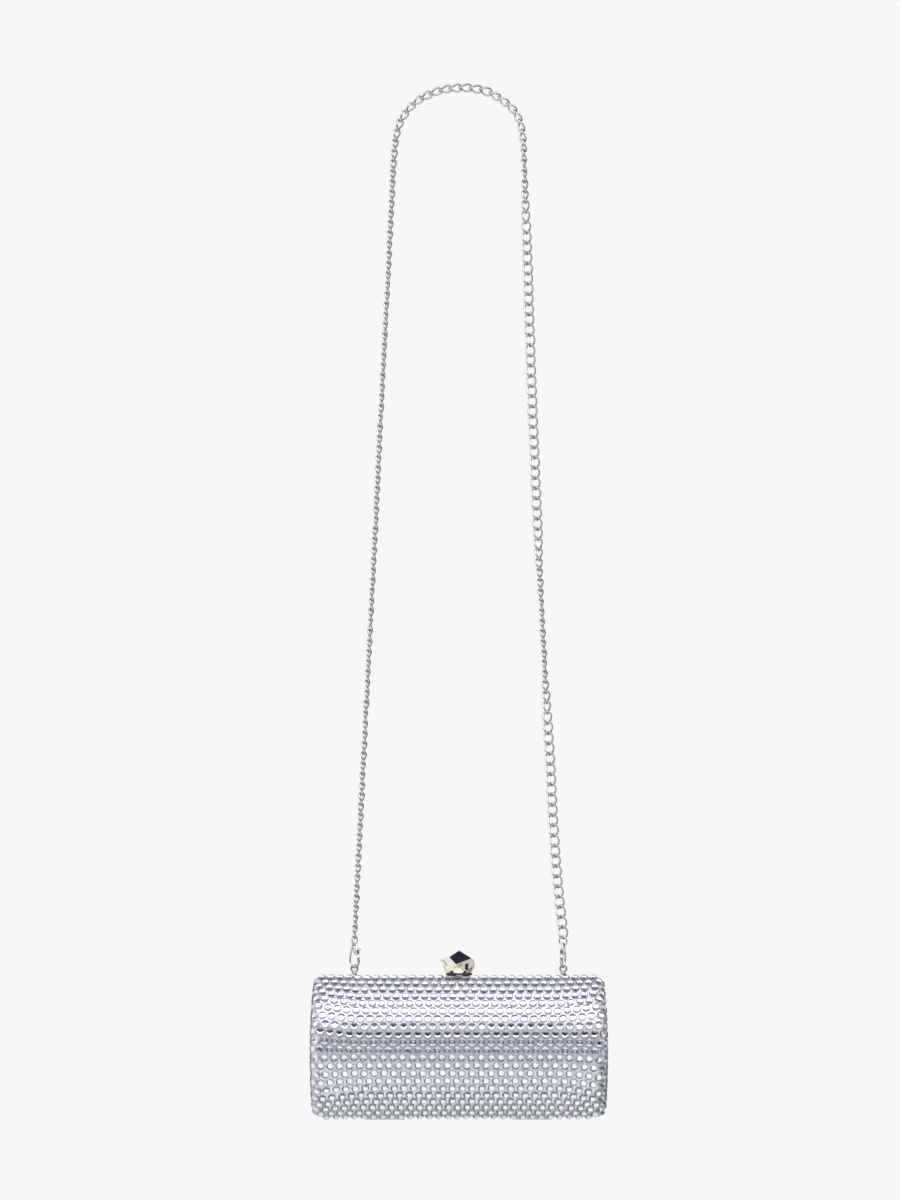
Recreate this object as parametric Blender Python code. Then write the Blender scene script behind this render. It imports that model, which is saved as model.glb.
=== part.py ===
"""Hard box clutch bag with a domed, stone-covered case, a faceted tilt clasp
and a detachable shoulder chain.  Metres, +Z up, the front faces -Y.

The origin is the underside of the chain's crown, where the bag hangs.  All
helper functions take millimetres; place() turns them into metres.
"""

import math

import bmesh
import bpy
import numpy as np
from mathutils import Matrix, Vector

# ---------------------------------------------------------------- dimensions
MM = 0.001
BAG_HALF_W = 90.3  # half the length of the case, outside the stones
BAG_HALF_H = 44.3  # half its height
ARC_R = 53.0  # radius of the domed front and back, in a Y-Z section
RIM_Y = 3.5  # the domed halves start this far from the parting plane
BAG_Z = -579.4  # height of the middle of the case under the hang point
FILLET_MID, FILLET_TOP, FILLET_BOTTOM = 6.4, 4.0, 5.5
BULGE_TOP, BULGE_BOTTOM = 2.2, 0.9  # how far the ends lean in at the corners

COVER = (0.0, 1.9)  # depth range under the stones' surface, for each layer
SHELL = (2.2, 3.6)
LINING = (3.9, 4.7)
FRAME = (1.7, 4.9)
FRAME_Y = (0.2, 3.2)

HINGE_X = (-45.0, 45.0)
HINGE_HALF = 12.0
HINGE_UP = -42.65  # the barrels lie between the halves' last rows of stones
KNUCKLE_R, HINGE_PIN_R, HINGE_BORE_R = 1.5, 0.6, 0.85

CLASP_X = -0.8
CLASP_AXIS = (-1.7, 47.2)  # y, and height over the case's middle

EYE_X = 63.5
EYE_RING_UP = 47.6  # height of the ring's centre over the case's middle
EYE_RING_R, EYE_WIRE_R = 2.1, 0.55

CLAW_WIRE_Z = -531.35  # centre of the wire at the foot of each claw
CLAW_EYE_UP = 12.9
CLAW_YAW = {"left": -48.0, "right": -108.0}
JUMP_R, JUMP_WIRE_R = 2.75, 0.55
JUMP_X = 63.3

CHAIN_D = 6.7  # width over the links
CHAIN_ENDS_Z = -509.6

ARC_C = math.sqrt(ARC_R**2 - BAG_HALF_H**2)  # centre of the arc to the rim plane


# ------------------------------------------------------------------- helpers
def clear_scene():
    for obj in list(bpy.data.objects):
        bpy.data.objects.remove(obj, do_unlink=True)


def material(name, color, rough, metal):
    mat = bpy.data.materials.new(name)
    mat.use_nodes = True
    shader = mat.node_tree.nodes["Principled BSDF"]
    shader.inputs["Base Color"].default_value = (*color, 1.0)
    shader.inputs["Roughness"].default_value = rough
    shader.inputs["Metallic"].default_value = metal
    mat.diffuse_color = (*color, 1.0)
    return mat


def empty(name, at, parent=None):
    obj = bpy.data.objects.new(name, None)
    obj.empty_display_size = 0.01
    bpy.context.scene.collection.objects.link(obj)
    here = Vector(at) * MM
    if parent is not None:
        obj.parent = parent
        here = here - Vector(parent["at"])
    obj.location = here
    obj["at"] = tuple(Vector(at) * MM)
    return obj


def place(name, bm, parent, look, smooth=None):
    """Turns a bmesh in millimetres into an object whose origin is its parent's."""
    at = Vector(parent["at"]) if parent is not None else Vector((0, 0, 0))
    bmesh.ops.recalc_face_normals(bm, faces=bm.faces)
    for v in bm.verts:
        v.co = v.co * MM - at
    mesh = bpy.data.meshes.new(name)
    bm.to_mesh(mesh)
    bm.free()
    if smooth is not None:
        mesh.shade_smooth()
        mesh.set_sharp_from_angle(angle=math.radians(smooth))
    obj = bpy.data.objects.new(name, mesh)
    bpy.context.scene.collection.objects.link(obj)
    obj.parent = parent
    mesh.materials.append(material(name, *look))
    return obj


def tool(name, bm):
    """A cutter or a piece to be joined: wire display, out of renders."""
    bmesh.ops.recalc_face_normals(bm, faces=bm.faces)
    for v in bm.verts:
        v.co *= MM
    mesh = bpy.data.meshes.new(name)
    bm.to_mesh(mesh)
    bm.free()
    obj = bpy.data.objects.new(name, mesh)
    obj.hide_render = True
    obj.display_type = "WIRE"
    bpy.context.scene.collection.objects.link(obj)
    return obj


def boolean(obj, operation, *tools):
    for other in tools:
        mod = obj.modifiers.new(other.name, "BOOLEAN")
        mod.operation = operation
        mod.solver = "EXACT"
        mod.object = other
    return obj


def box(x, y, z):
    bm = bmesh.new()
    bmesh.ops.create_cube(bm, size=1.0)
    for v in bm.verts:
        v.co = Vector(
            (
                x[0] + (v.co.x + 0.5) * (x[1] - x[0]),
                y[0] + (v.co.y + 0.5) * (y[1] - y[0]),
                z[0] + (v.co.z + 0.5) * (z[1] - z[0]),
            )
        )
    return bm


def cylinder(centre, axis, radius, length, sides, turn=0.0):
    bm = bmesh.new()
    bmesh.ops.create_cone(
        bm,
        cap_ends=True,
        segments=sides,
        radius1=radius,
        radius2=radius,
        depth=length,
    )
    spin = Matrix.Rotation(turn, 4, "Z")
    to = Vector(axis).to_track_quat("Z", "Y").to_matrix().to_4x4()
    bmesh.ops.transform(bm, matrix=Matrix.Translation(centre) @ to @ spin, verts=bm.verts)
    return bm


def tube(points, radii, sides=8, closed=False, flat=None):
    """A swept round bar.  flat gives a second radius across the sweep's plane."""
    pts = [Vector(p) for p in points]
    n = len(pts)
    radii = radii if isinstance(radii, (list, tuple)) else [radii] * n
    flat = flat if flat is not None else radii
    flat = flat if isinstance(flat, (list, tuple)) else [flat] * n
    if closed:
        tangents = [(pts[(i + 1) % n] - pts[i - 1]).normalized() for i in range(n)]
    else:
        tangents = [
            (pts[min(i + 1, n - 1)] - pts[max(i - 1, 0)]).normalized() for i in range(n)
        ]
    # the sweep lies in one plane or close to it, whose normal is the side vector
    centre = sum(pts, Vector()) / n
    normal = Vector()
    for i in range(n - (0 if closed else 1)):
        normal += (pts[i] - centre).cross(pts[(i + 1) % n] - centre)
    if normal.length < 1e-6:
        normal = tangents[0].orthogonal()
    normal.normalize()
    bm = bmesh.new()
    rings = []
    for p, t, r, f in zip(pts, tangents, radii, flat):
        side = (normal - t * normal.dot(t)).normalized()
        out = t.cross(side).normalized()
        rings.append(
            [
                bm.verts.new(
                    p
                    + out * (r * math.cos(2 * math.pi * (k + 0.5) / sides))
                    + side * (f * math.sin(2 * math.pi * (k + 0.5) / sides))
                )
                for k in range(sides)
            ]
        )
    last = n if closed else n - 1
    for i in range(last):
        a, b = rings[i], rings[(i + 1) % n]
        for k in range(sides):
            m = (k + 1) % sides
            bm.faces.new((a[k], a[m], b[m], b[k]))
    if not closed:
        bm.faces.new(rings[0])
        bm.faces.new(list(reversed(rings[-1])))
    return bm


def merge(*parts):
    """Puts several bmeshes in one, as separate bodies of a cutter."""
    out = bmesh.new()
    for part in parts:
        mesh = bpy.data.meshes.new("tmp")
        part.to_mesh(mesh)
        part.free()
        out.from_mesh(mesh)
        bpy.data.meshes.remove(mesh)
    return out


def hull(points):
    bm = bmesh.new()
    for p in points:
        bm.verts.new(p)
    found = bmesh.ops.convex_hull(bm, input=bm.verts)
    inside = [e for e in found["geom_interior"] if isinstance(e, bmesh.types.BMVert)]
    bmesh.ops.delete(bm, geom=list(set(inside)), context="VERTS")
    bmesh.ops.dissolve_limit(
        bm, angle_limit=math.radians(0.6), verts=bm.verts, edges=bm.edges
    )
    bmesh.ops.triangulate(bm, faces=bm.faces)
    return bm


# --------------------------------------------------------- the case's surface
def fillet(v, depth):
    """Radius of the rounded end edge at v (-1 bottom rim, 1 top rim)."""
    r = FILLET_MID + (FILLET_TOP - FILLET_MID) * max(0.0, v) ** 3
    r += (FILLET_BOTTOM - FILLET_MID) * max(0.0, -v) ** 3
    return max(r - depth, 0.8)


def lean(up):
    """The share of an X coordinate that is left at a height over the middle."""
    k = (up / BAG_HALF_H) ** 2
    return 1.0 - (BULGE_TOP if up > 0 else BULGE_BOTTOM) * k / BAG_HALF_W


def section_list(depth, curved, flat_rings):
    """(sign of X, turn of the fillet or None, share of the flat end) along X."""
    one = [("end", k / flat_rings) for k in range(flat_rings)]
    one += [("round", math.radians(90.0 * (1 - k / curved))) for k in range(curved + 1)]
    return [(-1.0, *s) for s in one] + [(1.0, *s) for s in reversed(one)]


def case_point(section, v, depth, side):
    """A point of the domed surface, depth under the stones' surface."""
    sign, kind, value = section
    radius = ARC_R - depth
    end = BAG_HALF_W - depth

    def at(w):
        r = fillet(w, depth)
        if kind == "round":
            return end - r * (1 - math.sin(value)), radius - r * (1 - math.cos(value))
        return end, ARC_C + (radius - r - ARC_C) * value

    x, rho = at(v)
    rim = at(1.0 if v > 0 else -1.0)[1]
    most = math.acos(min(1.0, ARC_C / max(rim, ARC_C)))
    if kind == "end" and value == 0.0:
        most, rho = 0.0, ARC_C
    turn = v * most
    up = rho * math.sin(turn)
    out = rho * math.cos(turn) - ARC_C
    if abs(abs(v) - 1.0) < 1e-9:
        out = 0.0
    return Vector((sign * x * lean(up), side * (RIM_Y + out), BAG_Z + up))


def tray(side, layer, strips=12):
    """One domed layer: outer and inner surface, joined round the rim plane."""
    bm = bmesh.new()
    sheets = []
    for depth in layer:
        sections = section_list(depth, 3, 2)
        grid = []
        for i, section in enumerate(sections):
            if i in (0, len(sections) - 1):
                grid.append([bm.verts.new(case_point(section, 0.0, depth, side))])
            else:
                grid.append(
                    [
                        bm.verts.new(case_point(section, 2 * j / strips - 1, depth, side))
                        for j in range(strips + 1)
                    ]
                )
        for i in range(len(grid) - 1):
            a, b = grid[i], grid[i + 1]
            for j in range(strips):
                if len(a) == 1:
                    bm.faces.new((a[0], b[j], b[j + 1]))
                elif len(b) == 1:
                    bm.faces.new((a[j], b[0], a[j + 1]))
                else:
                    bm.faces.new((a[j], b[j], b[j + 1], a[j + 1]))
        loop = [g[0] for g in grid] + [g[-1] for g in reversed(grid[1:-1])]
        sheets.append(loop)
    outer, inner = sheets
    for i in range(len(outer)):
        k = (i + 1) % len(outer)
        bm.faces.new((outer[i], outer[k], inner[k], inner[i]))
    bmesh.ops.triangulate(bm, faces=bm.faces)
    return bm


def rim_loop(depth, curved=6):
    """The case's outline in the rim plane, as (x, z), once round."""
    sections = section_list(depth, curved, 2)
    low = [case_point(s, -1.0, depth, -1) for s in sections[1:-1]]
    high = [case_point(s, 1.0, depth, -1) for s in sections[1:-1]]
    ends = [case_point(sections[0], 0.0, depth, -1), case_point(sections[-1], 0.0, depth, -1)]
    loop = [ends[0], *low, ends[1], *reversed(high)]
    return [(p.x, p.z) for p in loop]


def hoop(side):
    """A metal frame that follows the outline, from FRAME_Y[0] to FRAME_Y[1]."""
    bm = bmesh.new()
    rows = []
    for depth in FRAME:
        for y in FRAME_Y:
            rows.append([bm.verts.new((x, side * y, z)) for x, z in rim_loop(depth)])
    a, b, c, d = rows  # outer near, outer far, inner near, inner far
    for i in range(len(a)):
        k = (i + 1) % len(a)
        bm.faces.new((a[i], a[k], b[k], b[i]))
        bm.faces.new((c[i], d[i], d[k], c[k]))
        bm.faces.new((a[i], c[i], c[k], a[k]))
        bm.faces.new((b[i], b[k], d[k], d[i]))
    bmesh.ops.triangulate(bm, faces=bm.faces)
    return bm


FRAME_TOP = math.sqrt((ARC_R - FRAME[0]) ** 2 - ARC_C**2)  # over the case's middle
HINGE_Z = BAG_Z + HINGE_UP


# -------------------------------------------------------------------- looks
CRYSTAL = ((0.80, 0.85, 0.92), 0.08, 0.75)
NICKEL = ((0.78, 0.76, 0.73), 0.16, 1.0)
POLISHED = ((0.86, 0.83, 0.78), 0.07, 1.0)
DARK_METAL = ((0.42, 0.41, 0.40), 0.3, 1.0)
SHELL_METAL = ((0.62, 0.64, 0.67), 0.4, 1.0)
SATIN = ((0.56, 0.57, 0.60), 0.55, 0.0)


# ---------------------------------------------------------------- the chain
def smooth_route(points, count):
    """Evenly spaced points on a smooth curve through the route's own points."""
    pts = np.array(points, float)
    ext = np.vstack([2 * pts[0] - pts[1], pts, 2 * pts[-1] - pts[-2]])
    fine = []
    for i in range(1, len(ext) - 2):
        p0, p1, p2, p3 = ext[i - 1], ext[i], ext[i + 1], ext[i + 2]
        k = [np.linalg.norm(b - a) ** 0.5 for a, b in ((p0, p1), (p1, p2), (p2, p3))]
        m1 = (p2 - p1) / k[1] - (p2 - p0) / (k[0] + k[1]) + (p1 - p0) / k[0]
        m2 = (p3 - p2) / k[2] - (p3 - p1) / (k[1] + k[2]) + (p2 - p1) / k[1]
        m1, m2 = m1 * k[1], m2 * k[1]
        for t in np.linspace(0, 1, 30, endpoint=False):
            fine.append(
                (2 * t**3 - 3 * t**2 + 1) * p1
                + (t**3 - 2 * t**2 + t) * m1
                + (3 * t**2 - 2 * t**3) * p2
                + (t**3 - t**2) * m2
            )
    fine.append(ext[-2])
    fine = np.array(fine)
    # three passes of averaging take out what is left of the kinks
    for _ in range(3):
        inner = (fine[:-2] + 2 * fine[1:-1] + fine[2:]) / 4
        fine = np.vstack([fine[:1], inner, fine[-1:]])
    along = np.concatenate([[0], np.cumsum(np.linalg.norm(np.diff(fine, axis=0), axis=1))])
    want = np.linspace(0, along[-1], count)
    return [tuple(float(np.interp(s, along, fine[:, k])) for k in range(3)) for s in want]


# x and z in millimetres from the hang point: up the left strand, over the
# crown and down the right strand
CHAIN_ROUTE = [
    (-63.3, CHAIN_ENDS_Z),
    (-62.6, -495.0),
    (-60.6, -455.0),
    (-55.9, -364.0),
    (-51.2, -273.0),
    (-46.8, -182.0),
    (-43.0, -109.0),
    (-40.4, -55.0),
    (-38.9, -32.0),
    (-36.6, -19.5),
    (-31.6, -10.8),
    (-23.6, -3.6),
    (-14.0, 1.2),
    (-4.0, 3.3),
    (4.5, 3.4),
    (13.4, 2.5),
    (21.6, -0.8),
    (29.6, -6.4),
    (35.2, -13.0),
    (38.3, -22.0),
    (39.6, -40.0),
    (41.0, -82.0),
    (44.6, -188.0),
    (49.2, -292.0),
    (54.4, -388.0),
    (59.0, -460.0),
    (62.4, -497.0),
    (63.3, CHAIN_ENDS_Z),
]


def chain_strap():
    pts = smooth_route([(x, 0.0, z) for x, z in CHAIN_ROUTE], 79)
    curve = bpy.data.curves.new("chain_strap", "CURVE")
    curve.dimensions = "3D"
    curve.bevel_depth = CHAIN_D / 2 * MM
    curve.bevel_resolution = 2
    curve.use_fill_caps = True
    spline = curve.splines.new("POLY")
    spline.points.add(len(pts) - 1)
    for point, p in zip(spline.points, pts):
        point.co = (p[0] * MM, p[1] * MM, p[2] * MM, 1.0)
    obj = bpy.data.objects.new("chain_strap", curve)
    bpy.context.scene.collection.objects.link(obj)
    curve.materials.append(material("chain_strap", *NICKEL))
    return obj


# -------------------------------------------------------------- the claws
def claw_frame(side):
    """Plane vector u, normal n, and the origin at the foot's wire."""
    yaw = math.radians(CLAW_YAW[side])
    u = Vector((math.cos(yaw), math.sin(yaw), 0.0))
    n = Vector((math.sin(yaw), -math.cos(yaw), 0.0))
    x = -EYE_X if side == "left" else EYE_X
    return u, n, Vector((x, 0.0, CLAW_WIRE_Z))


CLAW_HOOK = [  # u, up, radius in the plane, radius across it
    (0.9, 10.5, 0.75, 1.25),
    (-0.6, 10.0, 0.95, 1.25),
    (-2.0, 8.7, 0.85, 1.15),
    (-3.0, 6.6, 0.75, 1.0),
    (-3.35, 4.3, 0.68, 0.85),
    (-2.95, 2.2, 0.62, 0.7),
    (-1.75, 0.6, 0.58, 0.6),
    (0.0, 0.0, 0.58, 0.58),
    (1.75, 0.6, 0.58, 0.6),
    (2.95, 2.2, 0.62, 0.7),
    (3.35, 4.0, 0.66, 0.8),
    (3.4, 4.9, 0.66, 0.8),
]
GATE_PIVOT = (2.0, 9.3)
GATE = [
    (2.0, 9.3, 0.75, 0.5),
    (2.75, 8.3, 0.62, 0.5),
    (3.3, 6.9, 0.58, 0.5),
    (3.45, 5.35, 0.6, 0.6),
]


def claw(side, parent):
    u, n, o = claw_frame(side)

    def at(a, b, c=0.0):
        return o + u * a + n * c + Vector((0, 0, b))

    hook = tube(
        [at(a, b) for a, b, _, _ in CLAW_HOOK],
        [r for _, _, r, _ in CLAW_HOOK],
        8,
        flat=[f for _, _, _, f in CLAW_HOOK],
    )
    body = place(f"{side}_claw", hook, parent, NICKEL, 40)
    eye = tube(
        [
            at(1.8 * math.sin(t), CLAW_EYE_UP + 2.1 * math.cos(t))
            for t in (2 * math.pi * k / 14 for k in range(14))
        ],
        0.5,
        6,
        closed=True,
    )
    # the head round the trigger: a short block across the plane
    head = hull(
        [
            at(a, b, c)
            for c in (-1.25, 1.25)
            for a, b in (
                (0.0, 11.2),
                (1.6, 11.2),
                (2.8, 10.3),
                (3.1, 9.3),
                (2.9, 8.4),
                (1.6, 8.2),
                (0.2, 8.9),
                (-0.7, 10.2),
            )
        ]
    )
    slot = hull(
        [
            at(a, b, c)
            for c in (-0.8, 0.8)
            for a, b in ((0.45, 10.6), (5.0, 12.6), (5.0, 6.6), (0.45, 7.4))
        ]
    )
    hole = cylinder(at(*GATE_PIVOT), n, 0.5, 6.0, 8)
    boolean(body, "UNION", tool(f"{side}_claw_eye", eye), tool(f"{side}_claw_head", head))
    boolean(
        body, "DIFFERENCE", tool(f"{side}_claw_slot", slot), tool(f"{side}_claw_hole", hole)
    )

    pivot = at(*GATE_PIVOT)
    axis = empty(f"{side}_trigger_axis", pivot, parent)
    lever = tube(
        [at(a, b) for a, b, _, _ in GATE],
        [r for _, _, r, _ in GATE],
        8,
        flat=[f for _, _, _, f in GATE],
    )
    gate = place(f"{side}_trigger", lever, axis, NICKEL, 40)
    hub = cylinder(pivot, n, 1.0, 1.0, 12)
    nub = hull(
        [
            at(a, b, c)
            for c in (-0.5, 0.5)
            for a, b in ((2.2, 9.9), (4.3, 11.1), (4.9, 10.8), (4.9, 10.2), (4.4, 9.9), (2.7, 9.0))
        ]
    )
    boolean(gate, "UNION", tool(f"{side}_gate_hub", hub), tool(f"{side}_gate_nub", nub))
    boolean(
        gate,
        "DIFFERENCE",
        tool(f"{side}_gate_hole", cylinder(pivot, n, 0.5, 6.0, 8)),
    )
    place(
        f"{side}_claw_rivet", cylinder(pivot, n, 0.38, 2.7, 8), parent, DARK_METAL, 40
    )
    spring = tube(
        [at(0.72, 8.75), at(0.66, 9.3), at(0.72, 9.9)],
        0.14,
        6,
    )
    place(f"{side}_claw_spring", spring, parent, DARK_METAL, 40)


def jump_ring(side):
    _, n, _ = claw_frame(side)
    x = -JUMP_X if side == "left" else JUMP_X
    top = CLAW_WIRE_Z + CLAW_EYE_UP + 2.1  # wire at the top of the claw's eye
    centre = Vector((x, 0.0, top - 0.5 - JUMP_WIRE_R - 0.3 + JUMP_R))
    ring = tube(
        [
            centre + n * (JUMP_R * math.sin(t)) + Vector((0, 0, JUMP_R * math.cos(t)))
            for t in (2 * math.pi * k / 16 for k in range(16))
        ],
        JUMP_WIRE_R,
        6,
        closed=True,
    )
    return place(f"{side}_jump_ring", ring, None, NICKEL, 40)


SWING_Z = CLAW_WIRE_Z + CLAW_EYE_UP + 2.1 - 0.65


# --------------------------------------------------------------- the case
def eye_post(side, parent):
    """A ring over the parting plane on a tapered foot screwed to the back frame."""
    x = -EYE_X if side == "left" else EYE_X
    top = BAG_Z + FRAME_TOP
    ring = tube(
        [
            (
                x + EYE_RING_R * math.sin(t),
                0.0,
                BAG_Z + EYE_RING_UP + EYE_RING_R * math.cos(t),
            )
            for t in (2 * math.pi * k / 16 for k in range(16))
        ],
        EYE_WIRE_R,
        8,
        closed=True,
    )
    obj = place(f"{side}_eye", ring, parent, NICKEL, 40)
    low = top + 0.3
    foot = hull(
        [(x + a, y, low) for a in (-1.5, 1.5) for y in (0.3, 3.1)]
        + [(x + a, y, low + 0.8) for a in (-1.5, 1.5) for y in (0.3, 3.1)]
        + [(x + a, y, BAG_Z + EYE_RING_UP - 1.75) for a in (-1.1, 1.1) for y in (-0.5, 0.5)]
    )
    stem = cylinder((x, 1.7, low - 1.9), (0, 0, 1), 0.6, 5.0, 10)
    return boolean(
        obj, "UNION", tool(f"{side}_eye_foot", foot), tool(f"{side}_eye_stem", stem)
    )


def hinge_cut(side):
    """Room in a frame for both hinges: let-in leaves and the barrels."""
    cuts = []
    for x in HINGE_X:
        span = (x - HINGE_HALF - 0.4, x + HINGE_HALF + 0.4)
        ys = (-0.2, 1.1) if side > 0 else (-1.1, 0.2)
        cuts.append(tool("leaf_recess", box(span, ys, (HINGE_Z - 2.0, HINGE_Z + 5.2))))
        cuts.append(
            tool(
                "barrel_recess",
                cylinder(
                    (x, 0, HINGE_Z), (1, 0, 0), 1.95, 2 * HINGE_HALF + 0.8, 16, math.pi / 16
                ),
            )
        )
    return cuts


def frame(side, name, parent):
    obj = place(name, hoop(side), parent, POLISHED, 35)
    boolean(obj, "DIFFERENCE", *hinge_cut(side))
    if side > 0:
        for x in (-EYE_X, EYE_X):
            boolean(
                obj,
                "DIFFERENCE",
                tool(
                    "eye_hole",
                    cylinder((x, 1.7, BAG_Z + FRAME_TOP), (0, 0, 1), 0.9, 9.0, 10),
                ),
            )
    return obj


def hinge_leaf(x, side, name, parent):
    """A let-in leaf with one or two knuckles of the barrel."""
    ys = (0.2, 0.8) if side > 0 else (-0.8, -0.2)
    plate = box((x - HINGE_HALF, x + HINGE_HALF), ys, (HINGE_Z + 2.0, HINGE_Z + 4.2))
    obj = place(name, plate, parent, POLISHED, 35)
    third = HINGE_HALF / 3
    if side > 0:
        spans = ((x - HINGE_HALF, x - third - 0.15), (x + third + 0.15, x + HINGE_HALF))
    else:
        spans = ((x - third + 0.15, x + third - 0.15),)
    joined = []
    for a, b in spans:
        joined.append(tool("knuckle_web", box((a, b), ys, (HINGE_Z + 0.9, HINGE_Z + 2.4))))
        joined.append(
            tool("knuckle", cylinder(((a + b) / 2, 0, HINGE_Z), (1, 0, 0), KNUCKLE_R, b - a, 16))
        )
    boolean(obj, "UNION", *joined)
    bore = cylinder((x, 0, HINGE_Z), (1, 0, 0), HINGE_BORE_R, 2 * HINGE_HALF + 4, 12)
    return boolean(obj, "DIFFERENCE", tool("hinge_bore", bore))


# -------------------------------------------------------------- the clasp
def px_point(px, py, y):
    """A point of the knob from its place in the front view and its depth."""
    x = (px - 458.8) * 0.608
    up = ((1046.9 - py) * 0.608 - y * 0.0767) / 0.997
    return Vector((x, y, BAG_Z + up))


def knob_points():
    apex = px_point(459.1, 950.9, 3.0)
    ridge = px_point(449.1, 956.8, -1.0)
    nose = px_point(456.4, 964.5, -9.0)
    normal = (ridge - apex).cross(nose - apex)
    right = px_point(471.3, 958.75, -5.8)
    right.y = apex.y - (
        normal.x * (right.x - apex.x) + normal.z * (right.z - apex.z)
    ) / normal.y
    return [
        apex,
        ridge,
        nose,
        right,
        px_point(440.5, 959.5, -2.5),
        px_point(444.5, 963.5, -5.5),
        px_point(473.9, 959.8, -3.0),
        px_point(475.0, 966.0, -2.5),
        px_point(446.6, 972.6, -7.0),
        px_point(453.2, 970.3, -9.6),
        px_point(463.3, 971.6, -9.8),
        px_point(471.2, 971.4, -7.6),
        px_point(448.6, 976.6, -8.0),
        px_point(454.5, 977.0, -8.8),
        px_point(464.0, 977.0, -8.8),
        px_point(470.6, 976.4, -7.4),
        Vector((-8.3, -5.2, BAG_Z + 45.2)),
        Vector((7.8, -5.0, BAG_Z + 45.2)),
        Vector((-8.6, 3.6, BAG_Z + 46.6)),
        Vector((7.6, 3.8, BAG_Z + 46.6)),
        Vector((-4.6, 6.4, BAG_Z + 46.8)),
        Vector((4.2, 6.5, BAG_Z + 46.8)),
        Vector((-9.6, 3.2, BAG_Z + 52.2)),
        Vector((8.9, 3.4, BAG_Z + 52.0)),
        Vector((-3.4, 6.6, BAG_Z + 53.6)),
        Vector((4.4, 6.2, BAG_Z + 54.2)),
    ]


def clasp(front, back):
    ay, aup = CLASP_AXIS
    az = BAG_Z + aup
    cx = CLASP_X
    top = BAG_Z + FRAME_TOP
    axis = empty("latch_axis", (cx, ay, az), front)

    knob = place("clasp_knob", hull(knob_points()), axis, POLISHED)
    hollow = box((cx - 6.9, cx + 6.9), (-4.6, 4.9), (BAG_Z + 40, BAG_Z + 49.9))
    belly = box((cx - 14, cx + 14), (-6.0, 9.0), (BAG_Z + 40, BAG_Z + 45.35))
    bore = cylinder((cx, 1.1, BAG_Z + 52.0), (0, 0, 1), 1.0, 6.0, 10)
    boolean(
        knob,
        "DIFFERENCE",
        tool("knob_hollow", hollow),
        tool("knob_belly", belly),
        tool("knob_bore", bore),
    )

    plate = box((cx - 4.4, cx + 4.4), (-3.4, 3.6), (BAG_Z + 48.7, BAG_Z + 49.6))
    lever = place("clasp_lever", plate, axis, NICKEL, 35)
    nib = box((cx - 4.4, cx + 4.4), (2.6, 3.6), (BAG_Z + 46.1, BAG_Z + 49.2))
    barrels = [
        tool("lever_barrel", cylinder((cx + s * 3.3, ay, az), (1, 0, 0), 1.8, 2.2, 14))
        for s in (-1, 1)
    ]
    boolean(lever, "UNION", tool("lever_nib", nib), *barrels)
    boolean(
        lever,
        "DIFFERENCE",
        tool("lever_bore", cylinder((cx, ay, az), (1, 0, 0), 0.95, 12.0, 12)),
        tool("lever_screw_hole", cylinder((cx, 1.1, BAG_Z + 49.0), (0, 0, 1), 1.0, 4.0, 10)),
    )

    head = cylinder((cx, 1.1, BAG_Z + 48.0), (0, 0, 1), 1.2, 0.8, 12)
    screw = place("clasp_screw", head, axis, DARK_METAL, 35)
    boolean(
        screw,
        "UNION",
        tool("screw_shank", cylinder((cx, 1.1, BAG_Z + 51.1), (0, 0, 1), 0.7, 6.2, 10)),
    )

    base = box((cx - 5.9, cx + 5.9), (-3.2, -0.3), (top + 0.3, top + 1.05))
    bracket = place("clasp_bracket", base, front, NICKEL, 35)
    ears = []
    for s in (-1, 1):
        xs = sorted((cx + s * 4.7, cx + s * 5.7))
        ears.append(tool("bracket_ear", box(xs, (-3.1, -0.3), (top + 0.6, az))))
        ears.append(
            tool("bracket_eye", cylinder((sum(xs) / 2, ay, az), (1, 0, 0), 1.5, 1.0, 14))
        )
    boolean(bracket, "UNION", *ears)
    boolean(
        bracket,
        "DIFFERENCE",
        tool("bracket_bore", cylinder((cx, ay, az), (1, 0, 0), 0.95, 14.0, 12)),
    )
    place("clasp_pin", cylinder((cx, ay, az), (1, 0, 0), 0.7, 12.2, 12), front, DARK_METAL, 35)

    turns, steps = 3.5, 28
    coil = tube_path(
        [
            (
                cx - 1.7 + 3.4 * k / steps,
                ay + 1.13 * math.cos(2 * math.pi * turns * k / steps),
                az + 1.13 * math.sin(2 * math.pi * turns * k / steps),
            )
            for k in range(steps + 1)
        ],
        0.17,
        6,
    )
    place("clasp_spring", coil, front, DARK_METAL, 60)

    strike = box((cx - 5.0, cx + 5.0), (0.4, 3.0), (top + 0.3, top + 0.9))
    catch = place("catch_plate", strike, back, NICKEL, 35)
    ridge = hull(
        [
            (cx + a, y, z)
            for a in (-4.6, 4.6)
            for y, z in (
                (0.7, top + 0.6),
                (2.1, top + 0.6),
                (1.9, BAG_Z + 45.9),
                (1.3, BAG_Z + 45.9),
            )
        ]
    )
    boolean(catch, "UNION", tool("catch_ridge", ridge))


def tube_path(points, radius, sides):
    """A round bar along any path in space, with its section carried along."""
    pts = [Vector(p) for p in points]
    n = len(pts)
    bm = bmesh.new()
    rings = []
    side = None
    for i, p in enumerate(pts):
        t = (pts[min(i + 1, n - 1)] - pts[max(i - 1, 0)]).normalized()
        side = t.orthogonal() if side is None else side - t * side.dot(t)
        side.normalize()
        out = t.cross(side)
        rings.append(
            [
                bm.verts.new(
                    p
                    + out * (radius * math.cos(2 * math.pi * k / sides))
                    + side * (radius * math.sin(2 * math.pi * k / sides))
                )
                for k in range(sides)
            ]
        )
    for a, b in zip(rings, rings[1:]):
        for k in range(sides):
            m = (k + 1) % sides
            bm.faces.new((a[k], a[m], b[m], b[k]))
    bm.faces.new(rings[0])
    bm.faces.new(list(reversed(rings[-1])))
    return bm


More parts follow.
